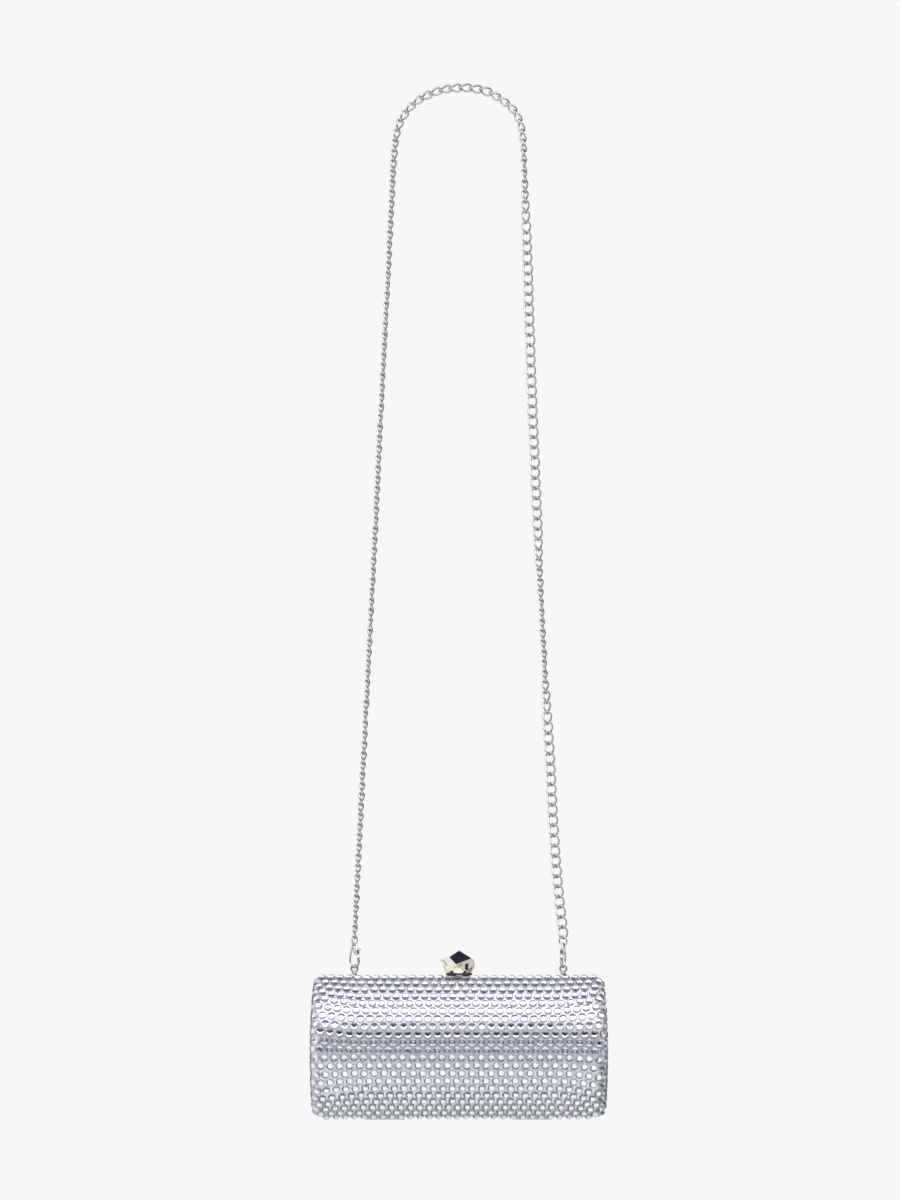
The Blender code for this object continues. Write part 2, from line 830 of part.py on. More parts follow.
def main():
    clear_scene()
    swing = empty("swing_axis", (0, 0, SWING_Z))
    lid = empty("lid_axis", (0, 0, HINGE_Z), swing)

    chain_strap()
    for side in ("left", "right"):
        jump_ring(side)
        claw(side, swing)
        eye_post(side, swing)

    for side, word, parent in ((-1, "front", lid), (1, "back", swing)):
        place(f"{word}_crystal_cover", tray(side, COVER), parent, CRYSTAL, 30)
        place(f"{word}_shell", tray(side, SHELL), parent, SHELL_METAL, 30)
        place(f"{word}_lining", tray(side, LINING), parent, SATIN, 30)
        frame(side, f"{word}_frame", parent)
        for x, hand in zip(HINGE_X, ("left", "right")):
            hinge_leaf(x, side, f"{hand}_hinge_{word}_leaf", parent)
    for x, hand in zip(HINGE_X, ("left", "right")):
        pin = cylinder((x, 0, HINGE_Z), (1, 0, 0), HINGE_PIN_R, 2 * HINGE_HALF, 10)
        place(f"{hand}_hinge_pin", pin, swing, DARK_METAL, 35)
    clasp(lid, swing)


main()
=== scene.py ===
import math

import bmesh
import bpy
import numpy as np
from mathutils import Matrix, Vector
from mathutils.bvhtree import BVHTree


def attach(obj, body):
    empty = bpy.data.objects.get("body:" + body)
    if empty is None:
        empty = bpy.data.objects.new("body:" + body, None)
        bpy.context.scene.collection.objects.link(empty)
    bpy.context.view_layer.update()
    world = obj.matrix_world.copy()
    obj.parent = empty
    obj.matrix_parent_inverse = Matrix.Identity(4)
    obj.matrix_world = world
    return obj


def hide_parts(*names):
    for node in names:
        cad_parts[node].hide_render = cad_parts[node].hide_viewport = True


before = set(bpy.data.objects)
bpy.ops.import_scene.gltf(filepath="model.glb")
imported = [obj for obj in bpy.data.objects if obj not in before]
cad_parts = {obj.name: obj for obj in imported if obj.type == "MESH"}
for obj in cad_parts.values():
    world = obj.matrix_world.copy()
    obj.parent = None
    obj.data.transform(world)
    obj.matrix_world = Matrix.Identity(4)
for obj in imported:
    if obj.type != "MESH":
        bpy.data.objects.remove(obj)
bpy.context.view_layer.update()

MM = 0.001

# ---------------------------------------------------------------- dimensions
# millimetres, the same as in the CAD model
BAG_HALF_W, BAG_HALF_H, ARC_R, RIM_Y, BAG_Z = 90.3, 44.3, 53.0, 3.5, -579.4
FILLET_MID, FILLET_TOP, FILLET_BOTTOM = 6.4, 4.0, 5.5
BULGE_TOP, BULGE_BOTTOM = 2.2, 0.9
ARC_C = math.sqrt(ARC_R**2 - BAG_HALF_H**2)
TURN_RIM = math.acos(ARC_C / ARC_R)
CLASP_X = -0.8
CLASP_AXIS = (-1.7, 47.2)
EYE_X, EYE_RING_UP, EYE_RING_R, EYE_WIRE_R = 63.5, 47.6, 2.1, 0.55
CLAW_WIRE_Z, CLAW_EYE_UP = -531.35, 12.9
CLAW_YAW = {"left": -48.0, "right": -108.0}
JUMP_R, JUMP_WIRE_R, JUMP_X = 2.75, 0.55, 63.3
RING_TURN = {"left": 14.0, "right": -18.0}
CHAIN_D, CHAIN_ENDS_Z = 6.7, -509.6
FRAME_TOP = math.sqrt((ARC_R - 1.7) ** 2 - ARC_C**2)
CHAIN_ROUTE = [
    (-63.3, CHAIN_ENDS_Z),
    (-62.6, -495.0),
    (-60.6, -455.0),
    (-55.9, -364.0),
    (-51.2, -273.0),
    (-46.8, -182.0),
    (-43.0, -109.0),
    (-40.4, -55.0),
    (-38.9, -32.0),
    (-36.6, -19.5),
    (-31.6, -10.8),
    (-23.6, -3.6),
    (-14.0, 1.2),
    (-4.0, 3.3),
    (4.5, 3.4),
    (13.4, 2.5),
    (21.6, -0.8),
    (29.6, -6.4),
    (35.2, -13.0),
    (38.3, -22.0),
    (39.6, -40.0),
    (41.0, -82.0),
    (44.6, -188.0),
    (49.2, -292.0),
    (54.4, -388.0),
    (58.5, -460.0),
    (61.8, -497.0),
    (63.3, CHAIN_ENDS_Z),
]

rng = np.random.default_rng(11)


# ------------------------------------------------------------------- helpers
def new_object(name, mesh):
    obj = bpy.data.objects.new(name, mesh)
    bpy.context.scene.collection.objects.link(obj)
    return obj


def from_lists(name, verts, faces, mats, kinds=None, smooth=None):
    """An object from points in millimetres and faces."""
    mesh = bpy.data.meshes.new(name)
    mesh.from_pydata([tuple(c * MM for c in v) for v in verts], [], faces)
    for mat in mats:
        mesh.materials.append(mat)
    if kinds is not None:
        mesh.polygons.foreach_set("material_index", np.array(kinds, dtype=np.int32))
    if smooth is not None:
        mesh.shade_smooth()
        if smooth < 180:
            mesh.set_sharp_from_angle(angle=math.radians(smooth))
    mesh.update()
    return new_object(name, mesh)


def from_bmesh(name, bm, mats, smooth=None):
    bmesh.ops.recalc_face_normals(bm, faces=bm.faces)
    for v in bm.verts:
        v.co *= MM
    mesh = bpy.data.meshes.new(name)
    bm.to_mesh(mesh)
    bm.free()
    for mat in mats:
        mesh.materials.append(mat)
    if smooth is not None:
        mesh.shade_smooth()
        if smooth < 180:
            mesh.set_sharp_from_angle(angle=math.radians(smooth))
    return new_object(name, mesh)


def settle(obj):
    """Applies every modifier of an object."""
    bpy.context.view_layer.update()
    graph = bpy.context.evaluated_depsgraph_get()
    mesh = bpy.data.meshes.new_from_object(obj.evaluated_get(graph))
    old = obj.data
    obj.modifiers.clear()
    obj.data = mesh
    mesh.name = old.name
    bpy.data.meshes.remove(old)
    return obj


def merge(obj, other):
    """Adds another object's mesh to obj's."""
    bm = bmesh.new()
    bm.from_mesh(obj.data)
    bm.from_mesh(other.data)
    bm.to_mesh(obj.data)
    bm.free()
    mesh = other.data
    bpy.data.objects.remove(other)
    bpy.data.meshes.remove(mesh)


def carve(obj, operation, *tools):
    """Cuts or joins closed tools with a body."""
    for tool in tools:
        mod = obj.modifiers.new("carve", "BOOLEAN")
        mod.operation = operation
        mod.solver = "EXACT"
        mod.object = tool
        settle(obj)
        mesh = tool.data
        bpy.data.objects.remove(tool)
        bpy.data.meshes.remove(mesh)
    return obj


def piece(obj, body, slot, *nodes):
    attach(obj, body)
    if nodes:
        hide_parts(*nodes)
    return obj


def smooth_line(points, per=8, closed=False):
    """A Catmull-Rom line through points of any number of columns."""
    pts = np.array(points, float)
    n = len(pts)
    out = []
    last = n if closed else n - 1
    for i in range(last):
        if closed:
            p0, p1, p2, p3 = pts[(i - 1) % n], pts[i], pts[(i + 1) % n], pts[(i + 2) % n]
        else:
            p1, p2 = pts[i], pts[i + 1]
            p0 = pts[i - 1] if i > 0 else 2 * p1 - p2
            p3 = pts[i + 2] if i + 2 < n else 2 * p2 - p1
        for t in np.linspace(0, 1, per, endpoint=False):
            out.append(
                0.5
                * (
                    2 * p1
                    + (p2 - p0) * t
                    + (2 * p0 - 5 * p1 + 4 * p2 - p3) * t * t
                    + (3 * p1 - p0 - 3 * p2 + p3) * t**3
                )
            )
    if not closed:
        out.append(pts[-1])
    return np.array(out)


def add_tube(bm, points, radii, sides=12, closed=False, flat=None, dome=True):
    """Adds a closed swept bar to bm.  flat is the radius across the sweep's plane."""
    pts = [Vector(p) for p in points]
    n = len(pts)
    radii = list(radii) if hasattr(radii, "__len__") else [radii] * n
    flat = radii if flat is None else (list(flat) if hasattr(flat, "__len__") else [flat] * n)
    if closed:
        tangents = [(pts[(i + 1) % n] - pts[i - 1]).normalized() for i in range(n)]
    else:
        tangents = [
            (pts[min(i + 1, n - 1)] - pts[max(i - 1, 0)]).normalized() for i in range(n)
        ]
    centre = sum(pts, Vector()) / n
    normal = Vector()
    for i in range(n - (0 if closed else 1)):
        normal += (pts[i] - centre).cross(pts[(i + 1) % n] - centre)
    if normal.length < 1e-6:
        normal = tangents[0].orthogonal()
    normal.normalize()
    rings = []

    def ring(p, t, r, f):
        side = (normal - t * normal.dot(t)).normalized()
        out = t.cross(side).normalized()
        return [
            bm.verts.new(
                p
                + out * (r * math.cos(2 * math.pi * (k + 0.5) / sides))
                + side * (f * math.sin(2 * math.pi * (k + 0.5) / sides))
            )
            for k in range(sides)
        ]

    if dome and not closed:
        for d in (0.96, 0.75, 0.4):
            q = math.sqrt(1 - d * d)
            rings.append(
                ring(pts[0] - tangents[0] * (d * radii[0] * 0.8), tangents[0], radii[0] * q, flat[0] * q)
            )
    for p, t, r, f in zip(pts, tangents, radii, flat):
        rings.append(ring(p, t, r, f))
    if dome and not closed:
        for d in (0.4, 0.75, 0.96):
            q = math.sqrt(1 - d * d)
            rings.append(
                ring(
                    pts[-1] + tangents[-1] * (d * radii[-1] * 0.8),
                    tangents[-1],
                    radii[-1] * q,
                    flat[-1] * q,
                )
            )
    m = len(rings)
    for i in range(m if closed else m - 1):
        a, b = rings[i], rings[(i + 1) % m]
        for k in range(sides):
            j = (k + 1) % sides
            bm.faces.new((a[k], a[j], b[j], b[k]))
    if not closed:
        bm.faces.new(rings[0])
        bm.faces.new(list(reversed(rings[-1])))


def add_hull(bm, points):
    verts = [bm.verts.new(p) for p in points]
    found = bmesh.ops.convex_hull(bm, input=verts)
    inside = [e for e in found["geom_interior"] if isinstance(e, bmesh.types.BMVert)]
    if inside:
        bmesh.ops.delete(bm, geom=list(set(inside)), context="VERTS")


def add_cylinder(bm, centre, axis, radius, length, sides=32):
    made = bmesh.ops.create_cone(
        bm, cap_ends=True, segments=sides, radius1=radius, radius2=radius, depth=length
    )
    to = Vector(axis).to_track_quat("Z", "Y").to_matrix().to_4x4()
    bmesh.ops.transform(bm, matrix=Matrix.Translation(centre) @ to, verts=made["verts"])


def add_box(bm, x, y, z):
    made = bmesh.ops.create_cube(bm, size=1.0)
    for v in made["verts"]:
        v.co = Vector(
            (
                x[0] + (v.co.x + 0.5) * (x[1] - x[0]),
                y[0] + (v.co.y + 0.5) * (y[1] - y[0]),
                z[0] + (v.co.z + 0.5) * (z[1] - z[0]),
            )
        )


def cast(name, parts, mats, voxel=0.14, rounds=6):
    """Melts closed parts into one body with soft inner corners, like cast metal."""
    obj = from_bmesh(name, parts, mats)
    mod = obj.modifiers.new("melt", "REMESH")
    mod.mode = "VOXEL"
    mod.voxel_size = voxel * MM
    mod.use_smooth_shade = True
    soft = obj.modifiers.new("soft", "SMOOTH")
    soft.factor = 0.5
    soft.iterations = rounds
    settle(obj)
    obj.data.shade_smooth()
    return obj


# ----------------------------------------------------------------- materials
class Finish:
    """A material and the nodes that drive its Principled shader."""

    def __init__(self, name):
        self.mat = bpy.data.materials.new(name)
        self.mat.use_nodes = True
        self.tree = self.mat.node_tree
        self.shader = self.tree.nodes["Principled BSDF"]
        self.place = self.add("ShaderNodeTexCoord").outputs["Object"]

    def add(self, kind, **values):
        node = self.tree.nodes.new(kind)
        for key, value in values.items():
            setattr(node, key, value)
        return node

    def link(self, a, b):
        self.tree.links.new(a, b)

    def noise(self, scale, detail=3.0, rough=0.5, kind="Fac"):
        node = self.add("ShaderNodeTexNoise")
        node.inputs["Scale"].default_value = scale
        node.inputs["Detail"].default_value = detail
        node.inputs["Roughness"].default_value = rough
        self.link(self.place, node.inputs["Vector"])
        return node.outputs[kind]

    def cells(self, scale, feature="F1", out="Distance"):
        node = self.add("ShaderNodeTexVoronoi", feature=feature)
        node.inputs["Scale"].default_value = scale
        self.link(self.place, node.inputs["Vector"])
        return node.outputs[out]

    def ramp(self, value, *stops):
        node = self.add("ShaderNodeValToRGB")
        band = node.color_ramp
        while len(band.elements) < len(stops):
            band.elements.new(0.5)
        for element, (at, color) in zip(band.elements, stops):
            element.position = at
            element.color = (*color, 1.0) if len(color) == 3 else color
        self.link(value, node.inputs["Fac"])
        return node.outputs["Color"]

    def span(self, value, low, high, a=0.0, b=1.0):
        node = self.add("ShaderNodeMapRange")
        node.inputs["From Min"].default_value = a
        node.inputs["From Max"].default_value = b
        node.inputs["To Min"].default_value = low
        node.inputs["To Max"].default_value = high
        self.link(value, node.inputs["Value"])
        return node.outputs["Result"]

    def math(self, op, a, b=None):
        node = self.add("ShaderNodeMath", operation=op)
        for i, value in enumerate((a, b)):
            if value is None:
                continue
            if isinstance(value, (int, float)):
                node.inputs[i].default_value = value
            else:
                self.link(value, node.inputs[i])
        return node.outputs[0]

    def bump(self, height, strength, distance):
        node = self.add("ShaderNodeBump")
        node.inputs["Strength"].default_value = strength
        node.inputs["Distance"].default_value = distance
        self.link(height, node.inputs["Height"])
        self.link(node.outputs["Normal"], self.shader.inputs["Normal"])

    def set(self, **values):
        for key, value in values.items():
            self.shader.inputs[key.replace("_", " ")].default_value = value


def metal(name, color, rough, vary=0.06, scale=260.0, spread=0.06, bump=0.02):
    """Polished or brushed plate with faint clouding and fine handling marks."""
    f = Finish(name)
    f.set(Metallic=1.0)
    cloud = f.noise(scale, 4.0, 0.6)
    low = tuple(c * (1 - vary) for c in color)
    high = tuple(min(1.0, c * (1 + vary * 0.6)) for c in color)
    f.link(f.ramp(cloud, (0.3, low), (0.7, high)), f.shader.inputs["Base Color"])
    f.link(
        f.span(f.noise(scale * 3.1, 3.0, 0.6), max(0.01, rough - spread), rough + spread, 0.3, 0.7),
        f.shader.inputs["Roughness"],
    )
    if bump:
        f.bump(f.noise(scale * 9.0, 2.0, 0.5), bump, 0.00005)
    return f.mat


def stone_glass():
    f = Finish("stone_glass")
    f.set(Roughness=0.0, IOR=1.56, Transmission_Weight=0.97)
    f.link(
        f.ramp(
            f.noise(210.0, 1.0, 0.5),
            (0.30, (0.88, 0.91, 0.97)),
            (0.5, (0.955, 0.965, 0.985)),
            (0.70, (0.985, 0.97, 0.985)),
        ),
        f.shader.inputs["Base Color"],
    )
    return f.mat


def stone_foil():
    f = Finish("stone_foil")
    f.set(Metallic=1.0, Roughness=0.03)
    f.link(
        f.ramp(f.noise(150.0, 1.0, 0.5), (0.35, (0.88, 0.90, 0.93)), (0.65, (0.95, 0.95, 0.97))),
        f.shader.inputs["Base Color"],
    )
    return f.mat


def stone_edge():
    """The foil under a stone's slanted rim, duller than under its middle."""
    f = Finish("stone_edge")
    f.set(Metallic=1.0, Roughness=0.34)
    f.link(
        f.ramp(f.noise(300.0, 2.0, 0.5), (0.35, (0.70, 0.72, 0.75)), (0.65, (0.84, 0.855, 0.88))),
        f.shader.inputs["Base Color"],
    )
    return f.mat


def stone_net():
    """The silvery net between the stones: soft metal thread over a pale base."""
    f = Finish("stone_net")
    f.set(Metallic=0.82)
    knots = f.cells(1150.0)
    thread = f.ramp(knots, (0.18, (0.58, 0.60, 0.65)), (0.62, (0.86, 0.87, 0.92)))
    f.link(thread, f.shader.inputs["Base Color"])
    f.link(f.span(f.noise(500.0), 0.30, 0.44, 0.3, 0.7), f.shader.inputs["Roughness"])
    f.bump(knots, 0.5, 0.0002)
    return f.mat


def satin(name, color):
    """Fine twill with a soft sheen and a little clouding."""
    f = Finish(name)
    split = f.add("ShaderNodeSeparateXYZ")
    f.link(f.place, split.inputs[0])
    x, z = split.outputs["X"], split.outputs["Z"]
    slant = f.math("ADD", f.math("MULTIPLY", x, 9000.0), f.math("MULTIPLY", z, 15000.0))
    weave = f.math("SINE", slant)
    cloud = f.noise(35.0, 3.0, 0.6)
    base = f.ramp(
        cloud,
        (0.3, tuple(c * 0.86 for c in color)),
        (0.7, tuple(min(1, c * 1.1) for c in color)),
    )
    f.link(base, f.shader.inputs["Base Color"])
    f.link(f.span(weave, 0.42, 0.58, -1.0, 1.0), f.shader.inputs["Roughness"])
    f.set(Sheen_Weight=0.35, Sheen_Roughness=0.35, Specular_IOR_Level=0.55)
    f.bump(weave, 0.18, 0.00006)
    return f.mat


NICKEL_CHAIN = metal("chain_nickel", (0.62, 0.59, 0.57), 0.08, vary=0.08, spread=0.03)
NICKEL = metal("hardware_nickel", (0.66, 0.645, 0.625), 0.12, vary=0.08, spread=0.05)
NICKEL_KNOB = metal("knob_nickel", (0.87, 0.805, 0.72), 0.05, vary=0.03, spread=0.025, bump=0.01)
NICKEL_FRAME = metal("frame_nickel", (0.80, 0.785, 0.76), 0.14, vary=0.05, spread=0.05)
STEEL = metal("pin_steel", (0.42, 0.41, 0.40), 0.28, vary=0.12, spread=0.08)
ALUMINIUM = metal("shell_aluminium", (0.60, 0.62, 0.65), 0.38, vary=0.08, spread=0.08, bump=0.1)
GLASS, FOIL, EDGE, NET = stone_glass(), stone_foil(), stone_edge(), stone_net()
# painted shade: the black metal of the two ovals under the knob, which stand in for the shade there
SHADE_BLACK = metal("painted_shade_black", (0.07, 0.055, 0.045), 0.2, vary=0.2, spread=0.06)
SATIN = satin("lining_satin", (0.50, 0.51, 0.54))

# -------------------------------------------------------------------- camera
camera = bpy.data.cameras.new("camera")
camera.sensor_fit = "VERTICAL"
camera.sensor_height = 36.0
camera.lens = 172.7
camera.clip_start, camera.clip_end = 0.05, 60.0
eye = bpy.data.objects.new("camera", camera)
bpy.context.scene.collection.objects.link(eye)
eye.location = (-0.00535, -3.5, -0.3077)
eye.rotation_euler = (math.radians(90.0), 0.0, 0.0)
bpy.context.scene.camera = eye


# ----------------------------------------------------------------- the chain
def smooth_route(points, count):
    pts = np.array(points, float)
    ext = np.vstack([2 * pts[0] - pts[1], pts, 2 * pts[-1] - pts[-2]])
    fine = []
    for i in range(1, len(ext) - 2):
        p0, p1, p2, p3 = ext[i - 1], ext[i], ext[i + 1], ext[i + 2]
        k = [np.linalg.norm(b - a) ** 0.5 for a, b in ((p0, p1), (p1, p2), (p2, p3))]
        m1 = (p2 - p1) / k[1] - (p2 - p0) / (k[0] + k[1]) + (p1 - p0) / k[0]
        m2 = (p3 - p2) / k[2] - (p3 - p1) / (k[1] + k[2]) + (p2 - p1) / k[1]
        m1, m2 = m1 * k[1], m2 * k[1]
        for t in np.linspace(0, 1, 30, endpoint=False):
            fine.append(
                (2 * t**3 - 3 * t**2 + 1) * p1
                + (t**3 - 2 * t**2 + t) * m1
                + (3 * t**2 - 2 * t**3) * p2
                + (t**3 - t**2) * m2
            )
    fine.append(ext[-2])
    fine = np.array(fine)
    for _ in range(3):
        inner = (fine[:-2] + 2 * fine[1:-1] + fine[2:]) / 4
        fine = np.vstack([fine[:1], inner, fine[-1:]])
    along = np.concatenate([[0], np.cumsum(np.linalg.norm(np.diff(fine, axis=0), axis=1))])
    want = np.linspace(0, along[-1], count)
    return np.array([[np.interp(s, along, fine[:, k]) for k in range(3)] for s in want])


LINK_WIRE, LINK_LONG, LINK_PITCH, LINK_TWIST = 0.68, 9.0, 6.2, math.radians(42.0)
# how far the links' flat side is turned from the front view, at heights on
# each strand (millimetres under the hang point)
TURN_LEFT = [
    (-520, 84),
    (-430, 78),
    (-330, 90),
    (-240, 80),
    (-150, 92),
    (-90, 84),
    (-40, 76),
    (-12, 62),
    (0, 50),
    (4, 47),
]
TURN_RIGHT = [
    (-520, 188),
    (-500, 186),
    (-440, 176),
    (-394, 172),
    (-374, 138),
    (-350, 98),
    (-306, 100),
    (-286, 116),
    (-262, 164),
    (-180, 176),
    (-96, 170),
    (-80, 150),
    (-62, 116),
    (-48, 92),
    (-36, 74),
    (-20, 62),
    (0, 52),
    (4, 47),
]


def link_template(around=26, sides=8):
    wide = (CHAIN_D - 2 * LINK_WIRE) / 2
    long = (LINK_LONG - 2 * LINK_WIRE) / 2

    def centre(t):
        c, s = math.cos(t), math.sin(t)
        c = math.copysign(abs(c) ** 0.86, c)
        turn = -LINK_TWIST * math.sin(t)
        return Vector((wide * c * math.cos(turn), wide * c * math.sin(turn), long * s))

    verts, faces = [], []
    for i in range(around):
        t = 2 * math.pi * i / around
        p = centre(t)
        tangent = (centre(t + 0.02) - centre(t - 0.02)).normalized()
        out = p - tangent * p.dot(tangent)
        out.normalize()
        side = tangent.cross(out)
        for k in range(sides):
            a = 2 * math.pi * (k + 0.5) / sides
            # the outer side of the wire is ground a little flat
            r = LINK_WIRE * (1.0 - 0.10 * max(0.0, math.cos(a)) ** 3)
            verts.append(p + out * (r * math.cos(a)) + side * (LINK_WIRE * math.sin(a)))
    for i in range(around):
        j = (i + 1) % around
        for k in range(sides):
            m = (k + 1) % sides
            faces.append((i * sides + k, i * sides + m, j * sides + m, j * sides + k))
    return np.array([tuple(v) for v in verts]), faces


def chain_strap():
    fine = smooth_route([(x, 0.0, z) for x, z in CHAIN_ROUTE], 4001)
    along = np.concatenate([[0], np.cumsum(np.linalg.norm(np.diff(fine, axis=0), axis=1))])
    length = along[-1]
    count = int(round(length / LINK_PITCH)) + 1
    top = float(along[np.argmax(fine[:, 2])])
    shape, quads = link_template()
    verts, faces = [], []
    for i in range(count):
        s = length * i / (count - 1)
        p = np.array([np.interp(s, along, fine[:, k]) for k in range(3)])
        a = np.array([np.interp(max(s - 2, 0), along, fine[:, k]) for k in range(3)])
        b = np.array([np.interp(min(s + 2, length), along, fine[:, k]) for k in range(3)])
        t = (b - a) / np.linalg.norm(b - a)
        y = np.array([0.0, 1.0, 0.0])
        x = np.cross(y, t)
        plan = TURN_LEFT if s < top else TURN_RIGHT
        turn = float(np.interp(p[2], [q[0] for q in plan], [q[1] for q in plan]))
        if 0 < i < count - 1:
            turn += rng.normal(0, 4.0)
            p = p + x * rng.normal(0, 0.08) + y * rng.normal(0, 0.08)
        turn = math.radians(turn)
        u = x * math.cos(turn) + y * math.sin(turn)
        v = np.cross(t, u)
        tilt = rng.normal(0, 0.03)
        u2 = u * math.cos(tilt) + t * math.sin(tilt)
        t2 = np.cross(u2, v)
        base = len(verts)
        verts.extend((shape @ np.array([u2, v, t2])) + p)
        faces.extend(tuple(base + k for k in q) for q in quads)
    obj = from_lists("chain_links", verts, faces, [NICKEL_CHAIN], smooth=180)
    route = smooth_route([(x, 0.0, z) for x, z in CHAIN_ROUTE], 79) * MM
    return obj, route, length


def claw_frame(side):
    yaw = math.radians(CLAW_YAW[side])
    u = Vector((math.cos(yaw), math.sin(yaw), 0.0))
    n = Vector((math.sin(yaw), -math.cos(yaw), 0.0))
    x = -EYE_X if side == "left" else EYE_X
    return u, n, Vector((x, 0.0, CLAW_WIRE_Z))


def jump_ring(side):
    """A ring of round wire whose ends meet in a fine cut."""
    u, n, _ = claw_frame(side)
    turn = math.radians(RING_TURN[side])
    n = n * math.cos(turn) + u * math.sin(turn)
    x = -JUMP_X if side == "left" else JUMP_X
    top = CLAW_WIRE_Z + CLAW_EYE_UP + 2.1
    centre = Vector((x, 0.0, top - 0.5 - JUMP_WIRE_R - 0.3 + JUMP_R))
    bm = bmesh.new()
    gap = 0.035
    turns = [0.9 + gap / 2 + (2 * math.pi - gap) * k / 56 for k in range(57)]
    add_tube(
        bm,
        [
            centre + n * (JUMP_R * math.sin(t)) + Vector((0, 0, JUMP_R * math.cos(t)))
            for t in turns
        ],
        JUMP_WIRE_R,
        12,
        dome=False,
    )
    return from_bmesh(f"{side}_jump_ring_wire", bm, [NICKEL], 50)


# ------------------------------------------------------ claws and their eyes
# in the claw's own plane: across, up, half-width in the plane, half-thickness
HOOK = [
    (1.55, 14.45, 0.46, 0.50),
    (0.35, 15.12, 0.46, 0.48),
    (-0.95, 14.72, 0.50, 0.50),
    (-1.85, 13.55, 0.50, 0.52),
    (-2.45, 11.9, 0.58, 0.62),
    (-3.05, 9.9, 0.66, 0.72),
    (-3.65, 7.8, 0.60, 0.70),
    (-3.98, 5.7, 0.56, 0.66),
    (-3.9, 3.9, 0.56, 0.62),
    (-3.2, 2.1, 0.56, 0.58),
    (-1.8, 0.62, 0.55, 0.55),
    (0.0, 0.0, 0.54, 0.54),
    (1.75, 0.55, 0.56, 0.56),
    (2.95, 1.75, 0.62, 0.72),
    (3.6, 3.2, 0.76, 1.0),
    (3.76, 4.3, 0.85, 1.15),
    (3.8, 5.0, 0.86, 1.16),
]
CHEEK = [
    (0.25, 8.75),
    (-0.55, 9.9),
    (-0.2, 11.3),
    (1.2, 12.4),
    (2.7, 12.2),
    (3.45, 10.9),
    (3.75, 9.3),
    (3.35, 8.3),
    (1.9, 8.05),
]
GATE_PIVOT = (2.0, 9.3)


def claw_spot(side, a, b, c=0.0):
    u, n, o = claw_frame(side)
    return o + u * a + n * c + Vector((0.0, 0.0, b))


def claw(side):
    """A teardrop hook with its eye at the tip and a slotted head for the gate."""
    bm = bmesh.new()
    line = smooth_line(HOOK, 6)
    rail = [claw_spot(side, a, b) for a, b, _, _ in line]
    add_tube(bm, rail, line[:, 2], 14, flat=line[:, 3], dome=False)
    shoulder = smooth_line(
        [
            (1.55, 14.4, 0.44, 0.5),
            (2.2, 13.4, 0.54, 0.6),
            (2.35, 12.2, 0.78, 0.95),
            (2.85, 10.9, 0.62, 1.05),
        ],
        6,
    )
    add_tube(
        bm, [claw_spot(side, a, b) for a, b, _, _ in shoulder], shoulder[:, 2], 14, flat=shoulder[:, 3]
    )
    for sign in (-1.0, 1.0):
        add_hull(
            bm,
            [
                claw_spot(side, 1.75 + (a - 1.75) * k, 10.2 + (b - 10.2) * k, sign * c)
                for c, k in ((0.66, 1.0), (0.9, 1.0), (1.12, 0.86), (1.3, 0.5))
                for a, b in CHEEK
            ],
        )
    # the web that joins the cheeks to the back of the hook
    add_hull(
        bm,
        [
            claw_spot(side, a, b, c)
            for c in (-1.0, 1.0)
            for a, b in ((0.0, 8.95), (-0.9, 9.7), (-2.4, 11.2), (-1.7, 12.1), (0.1, 11.3), (0.3, 10.7))
        ],
    )
    return cast(f"{side}_claw_hook", bm, [NICKEL], 0.105, 5)


def trigger(side):
    """The gate with its hub and the small ball that a fingertip pulls."""
    bm = bmesh.new()
    line = smooth_line(
        [
            (2.0, 9.3, 0.75, 0.48),
            (2.7, 8.3, 0.72, 0.5),
            (3.12, 7.5, 0.78, 0.8),
            (3.45, 6.7, 0.84, 1.04),
            (3.68, 5.9, 0.86, 1.14),
            (3.76, 5.12, 0.86, 1.16),
        ],
        6,
    )
    rail = [claw_spot(side, a, b) for a, b, _, _ in line]
    add_tube(bm, rail, line[:, 2], 14, flat=line[:, 3], dome=False)
    _, n, _ = claw_frame(side)
    add_cylinder(bm, claw_spot(side, *GATE_PIVOT), n, 1.0, 1.0, 24)
    stem = smooth_line([(2.3, 9.7, 0.5, 0.42), (3.6, 10.7, 0.42, 0.36), (4.9, 11.25, 0.3, 0.3)], 6)
    add_tube(bm, [claw_spot(side, a, b) for a, b, _, _ in stem], stem[:, 2], 12, flat=stem[:, 3])
    made = bmesh.ops.create_icosphere(bm, subdivisions=3, radius=0.56)
    bmesh.ops.translate(bm, verts=made["verts"], vec=claw_spot(side, 5.1, 11.35))
    return cast(f"{side}_gate", bm, [NICKEL], 0.105, 4)


def eye_post(side):
    """A thick ring over the parting plane on a broad foot on the back frame."""
    x = -EYE_X if side == "left" else EYE_X
    bm = bmesh.new()
    add_tube(
        bm,
        [
            (
                x + 1.96 * math.sin(t),
                0.0,
                BAG_Z + EYE_RING_UP + 0.06 + 1.96 * math.cos(t),
            )
            for t in (2 * math.pi * k / 48 for k in range(48))
        ],
        0.66,
        16,
        closed=True,
    )
    low = BAG_Z + FRAME_TOP + 0.3
    add_hull(
        bm,
        [Vector((x + a, y, low + h)) for a in (-1.7, 1.7) for y in (0.3, 3.1) for h in (0.0, 0.7)]
        + [
            Vector((x + a, y, BAG_Z + EYE_RING_UP - 1.95))
            for a in (-1.45, 1.45)
            for y in (-0.5, 0.5)
        ],
    )
    add_cylinder(bm, Vector((x, 1.7, low - 1.9)), (0, 0, 1), 0.6, 5.0, 24)
    return cast(f"{side}_eye_ring", bm, [NICKEL], 0.115, 5)


# ------------------------------------------------------- the case's surface
def fillet(v, depth):
    r = FILLET_MID + (FILLET_TOP - FILLET_MID) * max(0.0, v) ** 3
    r += (FILLET_BOTTOM - FILLET_MID) * max(0.0, -v) ** 3
    return max(r - depth, 0.8)


